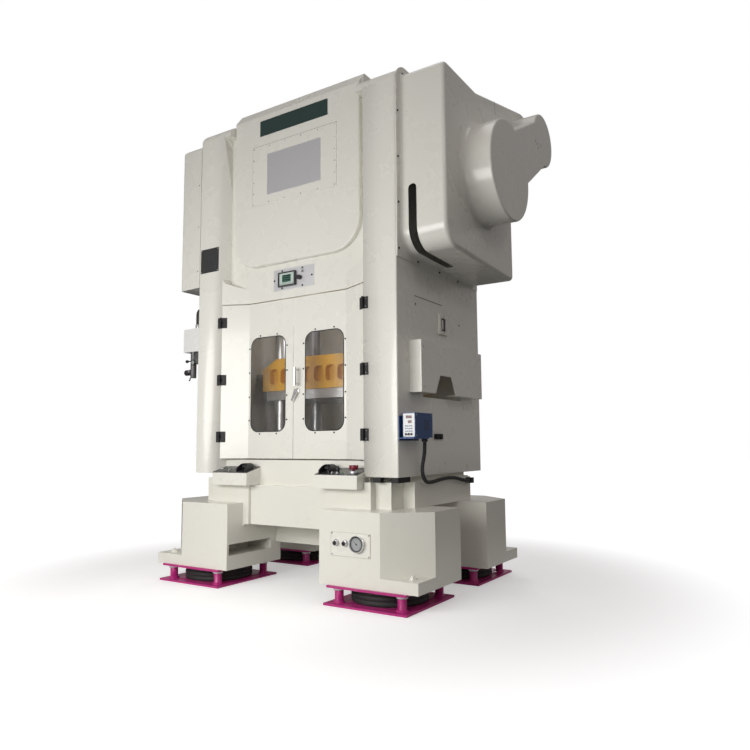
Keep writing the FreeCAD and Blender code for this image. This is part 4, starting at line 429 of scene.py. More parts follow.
# name: (group, its inputs in the group's own order, values of the shader)
FINISHES = {
    "ivory_enamel": ("enamel", ((0.8, 0.79, 0.73), (0.77, 0.755, 0.685), (0.42, 0.36, 0.28), 0.07, 0.05, 0.28),
                     coat(0.3, 0.07)),
    "ivory_casting": ("enamel", ((0.79, 0.78, 0.71), (0.75, 0.735, 0.655), (0.36, 0.31, 0.24), 0.16, 0.2, 0.32),
                     coat(0.35, 0.1)),
    "magenta_enamel": ("enamel", ((0.5, 0.028, 0.21), (0.36, 0.018, 0.15), (0.35, 0.22, 0.24), 0.5, 0.2, 0.34),
                     coat(0.2, 0.15)),
    "navy_enamel": ("enamel", ((0.018, 0.065, 0.2), (0.012, 0.045, 0.15), (0.2, 0.22, 0.26), 0.25, 0.3, 0.38), {}),
    "orange_enamel": ("enamel", ((0.77, 0.41, 0.035), (0.66, 0.32, 0.02), (0.34, 0.2, 0.07), 0.6, 0.4, 0.32),
                     coat(0.2, 0.15)),
    "green_enamel": ("enamel", ((0.018, 0.045, 0.04), (0.012, 0.03, 0.027), (0.2, 0.22, 0.2), 0.15, 0.08, 0.22), {}),
    "white_enamel": ("enamel", ((0.8, 0.8, 0.78), (0.73, 0.73, 0.7), (0.4, 0.36, 0.3), 0.35, 0.12, 0.28), {}),
    "ground_steel": ("machined", ((0.56, 0.56, 0.56), (0.3, 0.28, 0.25), 0.35, 0.34, 0.35), {"Metallic": 1.0}),
    "bright_metal": ("machined", ((0.8, 0.8, 0.8), (0.55, 0.54, 0.52), 0.08, 0.14, 0.2), {"Metallic": 1.0}),
    "silver_sheet": ("machined", ((0.74, 0.74, 0.76), (0.64, 0.64, 0.66), 0.25, 0.42, 0.25), {"Metallic": 0.75}),
    "cast_iron": ("machined", ((0.17, 0.17, 0.175), (0.12, 0.1, 0.08), 0.5, 0.5, 0.6), {"Metallic": 0.8}),
    "turned_brass": ("machined", ((0.62, 0.44, 0.18), (0.35, 0.24, 0.1), 0.2, 0.3, 0.4), {"Metallic": 1.0}),
    "black_steel": ("machined", ((0.014, 0.014, 0.015), (0.03, 0.028, 0.026), 0.3, 0.5, 0.3),
                    {"Specular IOR Level": 0.3}),
    "black_plastic": ("grain", ((0.022, 0.022, 0.024), (0.06, 0.06, 0.06), 0.3, 700.0, 0.42), {}),
    "black_panel": ("grain", ((0.03, 0.03, 0.032), (0.09, 0.085, 0.08), 0.15, 500.0, 0.34), coat(0.3, 0.2)),
    "rubber": ("grain", ((0.018, 0.018, 0.018), (0.07, 0.065, 0.06), 0.4, 350.0, 0.66), {}),
    "dark_red_plastic": ("grain", ((0.2, 0.008, 0.028), (0.26, 0.03, 0.05), 0.08, 600.0, 0.28), coat(0.3, 0.1)),
    "green_plastic": ("grain", ((0.02, 0.2, 0.07), (0.05, 0.26, 0.12), 0.08, 600.0, 0.28), coat(0.3, 0.1)),
    "white_plastic": ("grain", ((0.8, 0.81, 0.82), (0.7, 0.7, 0.69), 0.1, 600.0, 0.34), {}),
    "grey_plastic": ("grain", ((0.34, 0.36, 0.36), (0.42, 0.42, 0.42), 0.15, 600.0, 0.4), {}),
    "pale_green_plastic": ("grain", ((0.5, 0.6, 0.55), (0.56, 0.62, 0.58), 0.1, 600.0, 0.35), {}),
    "faint_seam": ("grain", ((0.5, 0.48, 0.43), (0.42, 0.4, 0.36), 0.2, 500.0, 0.6), {}),
    "seam_shadow": ("grain", ((0.1, 0.095, 0.085), (0.16, 0.15, 0.13), 0.2, 500.0, 0.7), {}),
}


def build_finish(name):
    """One material: its pattern comes from a shared group, and its shader stays in the material."""
    kind, values, plain = FINISHES[name]
    if kind not in made_groups:
        made_groups[kind] = GROUPS[kind]()
    material, graph, shader = new_material(name)
    pattern = graph.add("ShaderNodeGroup", {"node_tree": made_groups[kind]})
    for socket, value in zip(pattern.inputs, values):
        socket.default_value = (*value, 1) if isinstance(value, tuple) else value
    for socket, label in (("Base Color", "Color"), ("Roughness", "Roughness"), ("Normal", "Normal")):
        graph.feed(shader.inputs[socket], pattern.outputs[label])
    for key, value in plain.items():
        graph.feed(shader.inputs[key], value)
    return material


def pane_finish():
    """Clear sheet: mostly see-through, with a smoky cast and smears that dull its gloss."""
    material, g, shader = new_material("clear_pane")
    smears = g.spread(g.noise(g.place((1, 1, 0.35)), 6.0, 5.0, 0.6), 0.4, 0.75)
    g.feed(shader.inputs["Base Color"], g.mix(smears, (0.14, 0.14, 0.14, 1), (0.3, 0.3, 0.3, 1)))
    g.feed(shader.inputs["Alpha"], g.spread(smears, 0.0, 1.0, 0.12, 0.24))
    g.feed(shader.inputs["Roughness"], g.spread(smears, 0.0, 1.0, 0.03, 0.1))
    return material


def glow_finish(name, dark, light, strength, scale):
    """A lit display: rows of short segments worked out from two square waves."""
    material, g, shader = new_material(name)
    split = g.add("ShaderNodeSeparateXYZ", Vector=g.place())
    across = g.math("ABSOLUTE", g.math("SINE", g.times(split.outputs["X"], scale)))
    up = g.math("ABSOLUTE", g.math("SINE", g.times(split.outputs["Z"], scale * 0.8)))
    lit = g.times(g.spread(across, 0.25, 0.45), g.spread(up, 0.55, 0.7))
    for label in ("Base Color", "Emission Color"):
        g.feed(shader.inputs[label], g.mix(lit, (*dark, 1), (*light, 1)))
    g.feed(shader.inputs["Emission Strength"], strength)
    g.feed(shader.inputs["Roughness"], 0.2)
    return material


SPECIAL = {
    "clear_pane": pane_finish,
    "red_digits": lambda: glow_finish("red_digits", (0.01, 0.003, 0.003), (0.16, 0.008, 0.008), 0.1, 420.0),
    "lcd": lambda: glow_finish("lcd", (0.006, 0.012, 0.01), (0.05, 0.16, 0.12), 0.08, 300.0),
}
made_finishes = {}


def finish(name):
    """The material of a finish, built at its first use."""
    if name not in made_finishes:
        made_finishes[name] = SPECIAL[name]() if name in SPECIAL else build_finish(name)
    return made_finishes[name]


# Which finish each CAD node gets.
NODE_FINISHES = {
    "ivory_casting": "bed crown",
    "ivory_enamel": "left_upright right_upright front_fascia rear_panel left_door right_door front_hood rear_hood "
                    "inspection_cover flywheel_cover left_side_cover feed_guards operator_boxes service_panel "
                    "sight_glass",
    "magenta_enamel": "isolator_bases isolator_tops",
    "navy_enamel": "monitor_case monitor_bracket",
    "orange_enamel": "slide",
    "white_enamel": "air_box",
    "silver_sheet": "display_panel",
    "ground_steel": "guide_posts ram_plate bolster_plate tie_rods crankshaft",
    "bright_metal": "pressure_gauge door_handle latch_lever hose_fitting",
    "cast_iron": "connecting_rods flywheel motor motor_pulley regulator",
    "turned_brass": "main_bearings",
    "rubber": "isolator_rubbers drive_belts inlet_hose",
    "black_steel": "left_window_screws right_window_screws hinge_frame_leaves left_hinge_leaves right_hinge_leaves",
    "black_panel": "console_plates display_unit",
    "black_plastic": "button_guards palm_button_left palm_button_right selector_switch display_knob conduit "
                     "conduit_glands regulator_knob",
    "dark_red_plastic": "stop_button",
    "clear_pane": "left_window right_window",
}

# Nodes with wide curves, shown by a copy with rounded shading.
CURVED_NODES = ("flywheel_cover front_hood rear_hood left_side_cover left_upright right_upright guide_posts "
                "connecting_rods crankshaft isolator_bases door_handle inlet_hose palm_button_left "
                "palm_button_right stop_button selector_switch display_knob regulator_knob regulator "
                "pressure_gauge left_window right_window tie_rods").split()


def rounded_copy(name):
    """A copy of a node with its points merged and its normals weighted by area, so curves shade round."""
    source = frame["nodes"][name]
    mesh = source.data.copy()
    turn_outwards(mesh, merge=1e-5)
    shade_round(mesh, 32)
    piece = add_object(name + "_skin", mesh)
    piece.modifiers.new("weighted_normals", "WEIGHTED_NORMAL").keep_sharp = True
    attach(piece, source["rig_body"])
    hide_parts(name)
    return piece


# -------- settings


class PressSizes(bpy.types.PropertyGroup):
    """Sizes a user would change."""

    screw_radius: bpy.props.FloatProperty(
        name="Cover Screw", description="Radius of the cover screws' heads", default=0.0065, min=0.002, max=0.02,
        unit="LENGTH")
    plate_thickness: bpy.props.FloatProperty(
        name="Plate Thickness", description="Thickness of the long bare plate on the hood", default=0.003, min=0.001,
        max=0.01, unit="LENGTH")
    lamp_radius: bpy.props.FloatProperty(
        name="Lamp", description="Radius of the small lamps on the operator boxes", default=0.009, min=0.004,
        max=0.02, unit="LENGTH")
    rib_pitch: bpy.props.FloatProperty(
        name="Conduit Rib", description="Distance from rib to rib of the conduit", default=0.0072, min=0.003,
        max=0.03, unit="LENGTH")
    lens: bpy.props.FloatProperty(
        name="Lens", description="Focal length on a 36 mm sensor", default=32.08, min=10, max=200)


class PressColours(bpy.types.PropertyGroup):
    """Colours a user would change."""

    backdrop: bpy.props.FloatVectorProperty(
        name="Backdrop", description="Colour of the floor and the surroundings", default=(1.0, 1.0, 1.0), size=3,
        min=0, max=1, subtype="COLOR")


# -------- stage


class PRESS_OT_stage(bpy.types.Operator):
    """Camera, lights, world and floor"""

    bl_idname = "press.stage"
    bl_label = "Stage"

    def execute(self, context):
        sizes, colours = context.scene.press_sizes, context.scene.press_colours
        self.add_camera(context, sizes.lens)
        self.add_floor(colours.backdrop)
        self.add_world(context, colours.backdrop)
        self.add_lamps()
        context.scene.view_settings.view_transform = "Standard"
        return {"FINISHED"}

    def add_camera(self, context, lens):
        """Axes from yaw, pitch and roll: forward (-sin yaw cos pitch, cos yaw cos pitch, sin pitch)."""
        yaw, pitch, roll = (math.radians(a) for a in CAMERA_TURN)
        forward = Vector((-math.sin(yaw) * math.cos(pitch), math.cos(yaw) * math.cos(pitch), math.sin(pitch)))
        right = Vector((math.cos(yaw), math.sin(yaw), 0))
        up = right.cross(forward)
        right, up = (right * math.cos(roll) + up * math.sin(roll), up * math.cos(roll) - right * math.sin(roll))
        camera = add_object("camera", bpy.data.cameras.new("camera"))
        camera.data.lens = lens
        camera.data.sensor_width = 36
        camera.data.clip_end = 100
        turn = Matrix((right, up, -forward)).transposed().to_4x4()
        camera.matrix_world = Matrix.Translation(CAMERA_SPOT) @ turn
        context.scene.camera = camera

    def add_floor(self, colour):
        """Lit and shadowed near the press, and glowing in the backdrop's colour far from it."""
        mesh = bpy.data.meshes.new("floor")
        mesh.from_pydata([(-30, -30, 0), (30, -30, 0), (30, 30, 0), (-30, 30, 0)], [], [(0, 1, 2, 3)])
        floor = add_object("floor", mesh)
        material, g, shader = new_material("floor_paint")
        away = g.add("ShaderNodeVectorMath", {"operation": "LENGTH"}, Vector=g.place()).outputs["Value"]
        far = g.spread(away, 1.0, 3.2)
        for label, value in (("Roughness", 0.9), ("Specular IOR Level", 0.0), ("Emission Color", (*colour, 1))):
            g.feed(shader.inputs[label], value)
        seen = g.seen()
        near = g.mix(seen, (*[c * 0.68 for c in colour], 1), (*[c * 0.82 for c in colour], 1))
        g.feed(shader.inputs["Base Color"], g.mix(far, near, (0, 0, 0, 1)))
        g.feed(shader.inputs["Emission Strength"], g.times(seen, g.spread(far, 0.0, 1.0, 0.35, 1.05)))
        mesh.materials.append(material)

    def add_world(self, context, colour):
        world = bpy.data.worlds.new("studio")
        world.use_nodes = True
        context.scene.world = world
        g = Graph(world.node_tree)
        background = world.node_tree.nodes["Background"]
        seen = g.seen()
        g.feed(background.inputs["Color"], g.mix(seen, (1.0, 0.955, 0.935, 1), (*colour, 1)))
        g.feed(background.inputs["Strength"], g.spread(seen, 0.0, 1.0, 0.32, 1.0))

    def add_lamps(self):
        """Each area lamp's name, place, aim, size, power and tint."""
        for name, spot, aim, size, power, tint in (
                ("key", (-0.1, -3.3, 1.35), (-0.05, -0.5, 1.0), (3.3, 1.4), 71, (1.0, 0.995, 0.975)),
                ("fill", (5.0, -2.4, 4.5), (0.9, -0.2, 2.2), (0.7, 0.7), 11, (1.0, 0.92, 0.93)),
                ("bay", (0.0, -0.43, 1.28), (0.0, 0.5, 1.28), (0.6, 0.6), 0.2, (1.0, 0.97, 0.96)),
                ("bay_side", (0.22, -0.05, 1.7), (-0.556, -0.05, 1.38), (0.45, 0.45), 3.0, (0.97, 0.97, 1.0)),
                ("top", (0.3, 0.1, 7.0), (0.0, 0.1, 2.0), (3.6, 3.6), 34, (1.0, 0.98, 0.98)),
                ("rear", (-2.6, 4.6, 3.2), (0.0, 0.5, 1.5), (2.4, 2.4), 60, (0.99, 0.99, 1.0))):
            lamp = bpy.data.lights.new(name, "AREA")
            lamp.shape = "ELLIPSE"
            lamp.size, lamp.size_y = size
            lamp.energy = power
            lamp.color = tint
            holder = add_object(name, lamp)
            holder.location = spot
            holder.visible_camera = False
            holder.rotation_euler = (Vector(aim) - Vector(spot)).to_track_quat("-Z", "Y").to_euler()


class PRESS_OT_paint_nodes(bpy.types.Operator):
    """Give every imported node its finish, and curved ones a copy with rounded shading"""

    bl_idname = "press.paint_nodes"
    bl_label = "Paint"

    def execute(self, context):
        for material, names in NODE_FINISHES.items():
            for name in names.split():
                piece = rounded_copy(name) if name in CURVED_NODES else frame["nodes"][name]
                piece.data.materials.clear()
                piece.data.materials.append(finish(material))
        return {"FINISHED"}


# -------- pieces


# The conduit's route in metres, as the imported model's solid follows it.
CONDUIT_ROUTE = [(0.829, -0.34, 0.8597), (0.829, -0.34, 0.812), (0.824, -0.347, 0.763), (0.816, -0.352, 0.711),
                 (0.811, -0.329, 0.6635), (0.8065, -0.285, 0.6345), (0.803, -0.2315, 0.6315), (0.801, -0.173, 0.635),
                 (0.8, -0.113, 0.641), (0.8, -0.052, 0.645), (0.8, 0.011, 0.6465), (0.8, 0.074, 0.644),
                 (0.8, 0.133, 0.637), (0.8, 0.189, 0.6255), (0.8, 0.24, 0.618), (0.8, 0.2897, 0.618)]


def spline_points(name, route):
    """Points read from a smooth curve through a route's control points, in order."""
    curve = bpy.data.curves.new(name, "CURVE")
    curve.dimensions = "3D"
    spline = curve.splines.new("NURBS")
    spline.points.add(len(route) - 1)
    spline.points.foreach_set("co", np.column_stack([route, np.ones(len(route))]).ravel())
    spline.order_u = 3
    spline.use_endpoint_u = True
    spline.resolution_u = 24
    holder = add_object(name, curve)
    bpy.context.view_layer.update()
    line = bpy.data.meshes.new_from_object(holder.evaluated_get(bpy.context.evaluated_depsgraph_get()))
    points = np.zeros(len(line.vertices) * 3)
    line.vertices.foreach_get("co", points)
    bpy.data.objects.remove(holder)
    return points.reshape(-1, 3)


def at_even_steps(points, step):
    """The same line with points at even distances, by straight interpolation on its length."""
    length = np.concatenate([[0], np.cumsum(np.linalg.norm(np.diff(points, axis=0), axis=1))])
    marks = np.linspace(0, length[-1], int(round(length[-1] / step)) + 1)
    return np.stack([np.interp(marks, length, points[:, i]) for i in range(3)], -1), length[-1]


class PRESS_OT_conduit(bpy.types.Operator):
    """Ribbed conduit from the monitor to the bed"""

    bl_idname = "press.conduit"
    bl_label = "Conduit"

    def execute(self, context):
        pitch = context.scene.press_sizes.rib_pitch
        line = spline_points("conduit_line", CONDUIT_ROUTE)
        path, length = at_even_steps(line, pitch / 6)
        marks = np.linspace(0, length, len(path))
        radii = 0.0103 + 0.0007 * np.tanh(3 * np.sin(2 * np.pi * marks / pitch))
        piece = place_piece("conduit_hose", tube(path, radii, 20), "black_plastic", smooth=60)
        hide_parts("conduit")
        return {"FINISHED"}


class PRESS_OT_plates(bpy.types.Operator):
    """Bare plates on the hood and the left upright"""

    bl_idname = "press.plates"
    bl_label = "Plates"

    def execute(self, context):
        thick = context.scene.press_sizes.plate_thickness
        fit_piece("crown_plate", plate(0.548, 0.104, thick, 0.004, 0.0008), "front", (-0.003, HOOD_FRONT, 2.9022),
                  "green_enamel")
        fit_piece("hood_sheet", plate(0.432, 0.272, 0.0015, 0.003, 0.0005), "front",
                  (0.004, HOOD_FRONT - 0.003, 2.582), "silver_sheet")
        fit_piece("data_plate", plate(0.166, 0.163, 0.002, 0.003, 0.0006), "front",
                  (DATA_PLATE_X, COLUMN_FRONT, DATA_PLATE_Z), "black_panel")
        rivets = [(DATA_PLATE_X + x * 0.075, COLUMN_FRONT - 0.002, DATA_PLATE_Z + z * 0.0735)
                  for x in (-1, 1) for z in (-1, 1)]
        screw_piece("data_plate_rivets", "front", rivets, 0.003, 0.0015, 10, "silver_sheet")
        return {"FINISHED"}


class PRESS_OT_fasteners(bpy.types.Operator):
    """Screws of the covers, the hood and the guards"""

    bl_idname = "press.fasteners"
    bl_label = "Fasteners"

    def execute(self, context):
        r = context.scene.press_sizes.screw_radius
        rows = np.concatenate([
            np.linspace((x0, INSPECTION_FRONT, z0), (x1, INSPECTION_FRONT, z1), count)
            for x0, z0, x1, z1, count in ((-0.326, 2.773, 0.326, 2.773, 6), (-0.326, 2.397, 0.326, 2.397, 6),
                                          (-0.326, 2.697, -0.326, 2.473, 4), (0.326, 2.697, 0.326, 2.473, 4))])
        screw_piece("inspection_screws", "front", rows, 0.0045, 0.003, 10)
        rim = [(COVER_RIM, y, z) for y, z in ((-0.459, 2.963), (-0.515, 2.72), (-0.515, 2.451), (-0.515, 2.187),
                                              (-0.515, 1.924), (-0.301, 1.893), (-0.032, 1.888), (0.222, 1.884))]
        screw_piece("cover_screws", "right", rim, r, 0.004, 14, "black_steel")
        left = [(-0.79, COLUMN_FRONT, z) for z in (2.02, 2.33, 2.62)]
        screw_piece("left_cover_screws", "front", left, 0.005, 0.003, 10)
        guard = np.array([(GUARD_SIDE, y, z) for y in (-0.375, 0.375) for z in (1.165, 1.39)])
        screw = cap_screw(0.006, 0.004)
        both = joined(set_on(screw, "right", guard), set_on(screw, "left", guard * [-1, 1, 1]))
        place_piece("feed_guard_screws", both, "bright_metal")
        return {"FINISHED"}


class PRESS_OT_isolators(bpy.types.Operator):
    """Collars and welds of the isolator posts, ribs round the rubber and bolts in the feet's flanges"""

    bl_idname = "press.isolators"
    bl_label = "Isolators"

    def execute(self, context):
        centres = np.array([(x, y, 0) for x in (-ISOLATOR_X, ISOLATOR_X) for y in (-ISOLATOR_Y, ISOLATOR_Y)])
        posts = np.array([(x, y, 0) for x in (-POST_X, POST_X) for y in (-POST_Y, POST_Y)])
        spots = (centres[:, None] + posts[None]).reshape(-1, 3)
        collar = turned([(0.027, 0), (0.031, 0.004), (0.031, 0.012), (0.026, 0.016)], 28)
        fit_piece("isolator_collars", collar, "top", spots + [0, 0, 0.0745], "silver_sheet")
        foot = turned([(0.033, 0), (0.033, 0.003), (0.026, 0.01), (0.0245, 0.0105)], 28)
        fit_piece("isolator_welds", foot, "top", spots + [0, 0, 0.0119], "magenta_enamel")
        levels = np.linspace(0.0135, 0.0895, 49)
        radii = 0.2052 + 0.006 * np.abs(np.sin((levels - RUBBER_FOOT) / RUBBER_HEIGHT * 3 * np.pi)) ** 0.7
        ribs = turned(list(zip(radii, levels)), 72)
        fit_piece("isolator_ribs", ribs, "top", centres, "rubber", smooth=40)
        lugs = np.array([(x * 0.889, y * 0.596, 0.165) for x in (-1, 1) for y in (-1, 1)])
        washer = joined(turned([(0.022, 0), (0.022, 0.003), (0.021, 0.004)], 28),
                        moved(hex_nut(0.016, 0.012), z=0.004),
                        moved(turned([(0.009, 0), (0.009, 0.015), (0.0075, 0.0165)], 18), z=0.006))
        fit_piece("foot_bolts", washer, "top", lugs, "ivory_enamel")
        return {"FINISHED"}


class PRESS_OT_display(bpy.types.Operator):
    """Controller screen, keys and screws on the display plate"""

    bl_idname = "press.display"
    bl_label = "Display"

    def execute(self, context):
        fit_piece("display_glass", plate(0.07, 0.046, 0.002, 0.002, 0.0005), "front",
                  (CONTROLLER_X, CONTROLLER_FRONT + 0.0035, 1.881), "lcd")
        bezel = frame_form(0.114, 0.078, 0.004, 0.0225, 0.0025, 0.0006)
        fit_piece("display_bezel", bezel, "front", (CONTROLLER_X, CONTROLLER_FRONT + 0.004, 1.879),
                  "pale_green_plastic")
        spots = [(-0.109 + 0.014 * i, CONTROLLER_FRONT + 0.0014, 1.8485) for i in range(8)]
        fit_piece("display_keys", plate(0.008, 0.006, 0.002, 0.0015, 0.0005, 3), "front", spots, "grey_plastic")
        spots = [(x, DISPLAY_FRONT, z) for x, z in ((-0.106, 1.936), (0.056, 1.936), (-0.106, 1.825), (0.056, 1.825),
                                                    (-0.169, 1.88), (0.13, 1.88))]
        screw_piece("display_screws", "front", spots, 0.006, 0.003, 12, "black_steel")
        key = joined(turned([(0.01, 0), (0.01, 0.006), (0.008, 0.008), (0.003, 0.008), (0.0028, 0.004)], 20),
                     moved(plate(0.003, 0.026, 0.003, 0.001, 0.0004, 2), y=0.004, z=0.008))
        fit_piece("display_key_switch", key, "front", (0.06, DISPLAY_FRONT, 1.912), "bright_metal")
        return {"FINISHED"}


class PRESS_OT_monitor(bpy.types.Operator):
    """Monitor face with its two number displays and keys"""

    bl_idname = "press.monitor"
    bl_label = "Monitor"

    def execute(self, context):
        fit_piece("monitor_face", plate(0.07, 0.125, 0.002, 0.006, 0.0006), "front",
                  (MONITOR_X, MONITOR_FRONT, 0.9485), "white_plastic")
        digits = joined(*[set_on(plate(w, 0.015, 0.0015, 0.0015, 0.0004, 3), "front", (x, MONITOR_FRONT - 0.0018, z))
                          for x, z, w in ((MONITOR_X, 0.992, 0.036), (0.835, 0.966, 0.022))])
        place_piece("monitor_digits", digits, "red_digits")
        spots = [(0.811 + 0.012 * i, MONITOR_FRONT - 0.0019, 0.944 - 0.014 * j) for i in range(4) for j in range(3)]
        key = turned([(0.0035, 0), (0.0035, 0.0012), (0.0028, 0.002)], 14)
        fit_piece("monitor_keys", key, "front", spots, "navy_enamel")
        spots = [(0.811 + 0.017 * i, MONITOR_FRONT - 0.0019, 0.9) for i in range(3)]
        knob = turned([(0.006, 0), (0.006, 0.005), (0.0045, 0.007)], 18)
        fit_piece("monitor_knobs", knob, "front", spots, "black_plastic")
        spots = [(MONITOR_SIDE, -0.385, 0.925 + 0.012 * i) for i in range(5)]
        fit_piece("monitor_vents", plate(0.06, 0.004, 0.0008, 0.0018, 0.0003, 3), "right", spots, "black_plastic")
        spots = [(MONITOR_SIDE, y, z) for y in (-0.5, -0.327) for z in (0.893, 1.004)]
        screw_piece("monitor_screws", "right", spots, 0.0035, 0.002, 10)
        return {"FINISHED"}


class PRESS_OT_service(bpy.types.Operator):
    """Couplings, gauge face, outline and screws of the service panel"""

    bl_idname = "press.service"
    bl_label = "Service Panel"

    def execute(self, context):
        coupling = joined(turned([(0.0185, 0), (0.0185, 0.002), (0.0175, 0.003)], 28),
                          moved(hex_nut(0.0165, 0.007), z=0.003),
                          moved(turned([(0.0125, 0), (0.0125, 0.004), (0.014, 0.005), (0.014, 0.009),
                                        (0.0125, 0.011), (0.0095, 0.011), (0.009, 0.003)], 28), z=0.01))
        bore = moved(turned([(0.0088, 0), (0.0088, 0.0085), (0.008, 0.0088)], 24), z=0.01)
        spots = [(x, SERVICE_FRONT, 0.328) for x in (0.466, 0.525)]
        fit_piece("service_couplings", coupling, "front", spots, "bright_metal", smooth=30)
        fit_piece("service_bores", bore, "front", spots, "black_steel")
        dial = turned([(0.0375, 0), (0.0375, 0.0006), (0.0372, 0.0008)], 48)
        fit_piece("gauge_dial", dial, "front", GAUGE_MIDDLE, "grey_plastic")
        ring = turned_ring([(0.0438, 0), (0.0438, 0.004), (0.0425, 0.0065), (0.0395, 0.0065), (0.0375, 0.003),
                            (0.0375, 0)], 56)
        fit_piece("gauge_ring", ring, "front", GAUGE_MIDDLE, "bright_metal", smooth=35)
        band = turned_ring([(0.0376, 0.0007), (0.0376, 0.0022), (0.0325, 0.0015), (0.0325, 0.0007)], 56)
        marks = joined(band, *self.ticks(), self.needle(),
                       turned([(0.004, 0.0008), (0.004, 0.003), (0.003, 0.0035)], 20))
        fit_piece("gauge_marks", marks, "front", GAUGE_MIDDLE, "black_plastic")
        spots = [(x, SERVICE_FRONT, z) for x in (0.436, 0.672) for z in (0.267, 0.377)]
        screw_piece("service_screws", "front", spots, 0.0045, 0.0025, 10)
        edge = frame_form(0.252, 0.126, 0.003, 0.0022, 0.0005, 0.0002, 3)
        fit_piece("service_outline", edge, "front", (0.554, SERVICE_FRONT, 0.322), "faint_seam")
        return {"FINISHED"}

    def ticks(self):
        """A long tick and two short ones in turn, each a thin box that points away from the middle."""
        forms = []
        for number, a in enumerate(np.radians(np.linspace(-45, 225, 28))):
            long = 0.008 if number % 3 == 0 else 0.0045
            way = np.array([math.cos(a), math.sin(a)])
            side = np.array([-way[1], way[0]]) * 0.0006
            inner, outer = way * (0.031 - long), way * 0.031
            loop = np.array([inner - side, outer - side, outer + side, inner + side])
            forms.append(closed_form(np.stack([lifted(loop, 0.0007), lifted(loop, 0.0011)])))
        return forms

    def needle(self):
        """A tapered pointer at 2.4 radians, with a short tail."""
        way = np.array([math.cos(2.4), math.sin(2.4)])
        across = np.array([-way[1], way[0]])
        loop = np.array([-way * 0.01 - across * 0.0014, way * 0.025 - across * 0.0004,
                         way * 0.025 + across * 0.0004, -way * 0.01 + across * 0.0014])
        return closed_form(np.stack([lifted(loop, 0.0016), lifted(loop, 0.0024)]))


class PRESS_OT_side_fittings(bpy.types.Operator):
    """Oil window, socket, painted shadow line under a side plate's edge and plugs of the right upright, and marks on
    the flywheel cover
    """

    bl_idname = "press.side_fittings"
    bl_label = "Side Fittings"

    def execute(self, context):
        fit_piece("oil_window", plate(0.062, 0.078, 0.0015, 0.003, 0.0004), "right", (SIGHT_SIDE, 0.0, SIGHT_Z),
                  "seam_shadow")
        fit_piece("oil_tube", plate(0.01, 0.06, 0.003, 0.003, 0.0008), "right",
                  (SIGHT_SIDE + 0.0012, -0.006, SIGHT_Z), "bright_metal")
        spots = [(SIGHT_SIDE + 0.008, 0.0, z) for z in (1.517, 1.618)]
        screw_piece("oil_window_screws", "right", spots, 0.005, 0.003, 12, "ground_steel")
        pin = set_on(plate(0.02, 0.02, 0.004, 0.002, 0.001), "right",
                     [(SIDE + 0.0095, -0.1, 0.89), (SIDE + 0.0095, -0.055, 0.89)])
        socket = joined(set_on(plate(0.096, 0.032, 0.01, 0.003, 0.001), "right", (SIDE, -0.075, 0.89)), pin)
        place_piece("side_socket", socket, "black_steel")
        # A dark strip painted as the shadow line under a side plate's upper edge.
        y = np.linspace(-0.339, 0.003, 12)
        lip_shadow = strip(np.column_stack([np.full(12, SIDE), y, np.full(12, 1.69)]), (0, 0, 1), (1, 0, 0), 0.004, 0.0015)
        place_piece("side_lip_shadow", lip_shadow, "seam_shadow")
        screw_piece("side_plugs", "right", [(SIDE, -0.327, 1.643), (SIDE, 0.24, 1.6)], 0.006, 0.002, 12,
                    "black_steel")
        seam = strip([(COVER_SIDE, 0.224, 3.022), (COVER_SIDE, 0.235, 2.933)], (0, 1, 0), (1, 0, 0), 0.0025, 0.0006)
        holes = set_on(turned([(0.006, 0), (0.006, 0.0002), (0.0055, 0.0003)], 16), "right",
                       [(COVER_LOBE, y, z) for y, z in ((0.455, 2.798), (0.485, 2.79), (0.553, 2.805),
                                                        (0.51, 2.772))])
        place_piece("cover_marks", joined(seam, holes), "seam_shadow")
        return {"FINISHED"}


class PRESS_OT_seals(bpy.types.Operator):
    """Rubber edge round each window, shadow lines of the inspection cover and blocks under the right upright"""

    bl_idname = "press.seals"
    bl_label = "Seals"

    def execute(self, context):
        seal = frame_form(0.291, 0.603, 0.061, 0.006, 0.0012, 0.0005, 10)
        for body, x in (("left_leaf", -WINDOW_X), ("right_leaf", WINDOW_X)):
            fit_piece(body + "_seal", seal, "front", (x, BAY_FRONT, WINDOW_Z), "rubber", body)
        line = HOOD_FRONT - 0.0001
        edges = [strip([(-0.3395, line, 2.7865), (0.3395, line, 2.7865)], (0, 0, 1), (0, -1, 0), 0.003, 0.0012),
                 strip([(-0.3395, line, 2.385), (-0.3395, line, 2.785)], (1, 0, 0), (0, -1, 0), 0.003, 0.0012)]
        place_piece("inspection_seams", joined(*edges), "seam_shadow")
        # Two black blocks that fill the gap under the right upright's front face, flush with it.
        blocks = joined(*[set_on(plate(w, 0.0285, deep, 0.003, 0.001), "front", (x, COLUMN_FRONT + deep, 0.6549))
                          for x, w, deep in ((0.6375, 0.049, 0.034), (0.75, 0.046, 0.13))])
        place_piece("gap_fill_blocks", blocks, "black_steel")
        return {"FINISHED"}


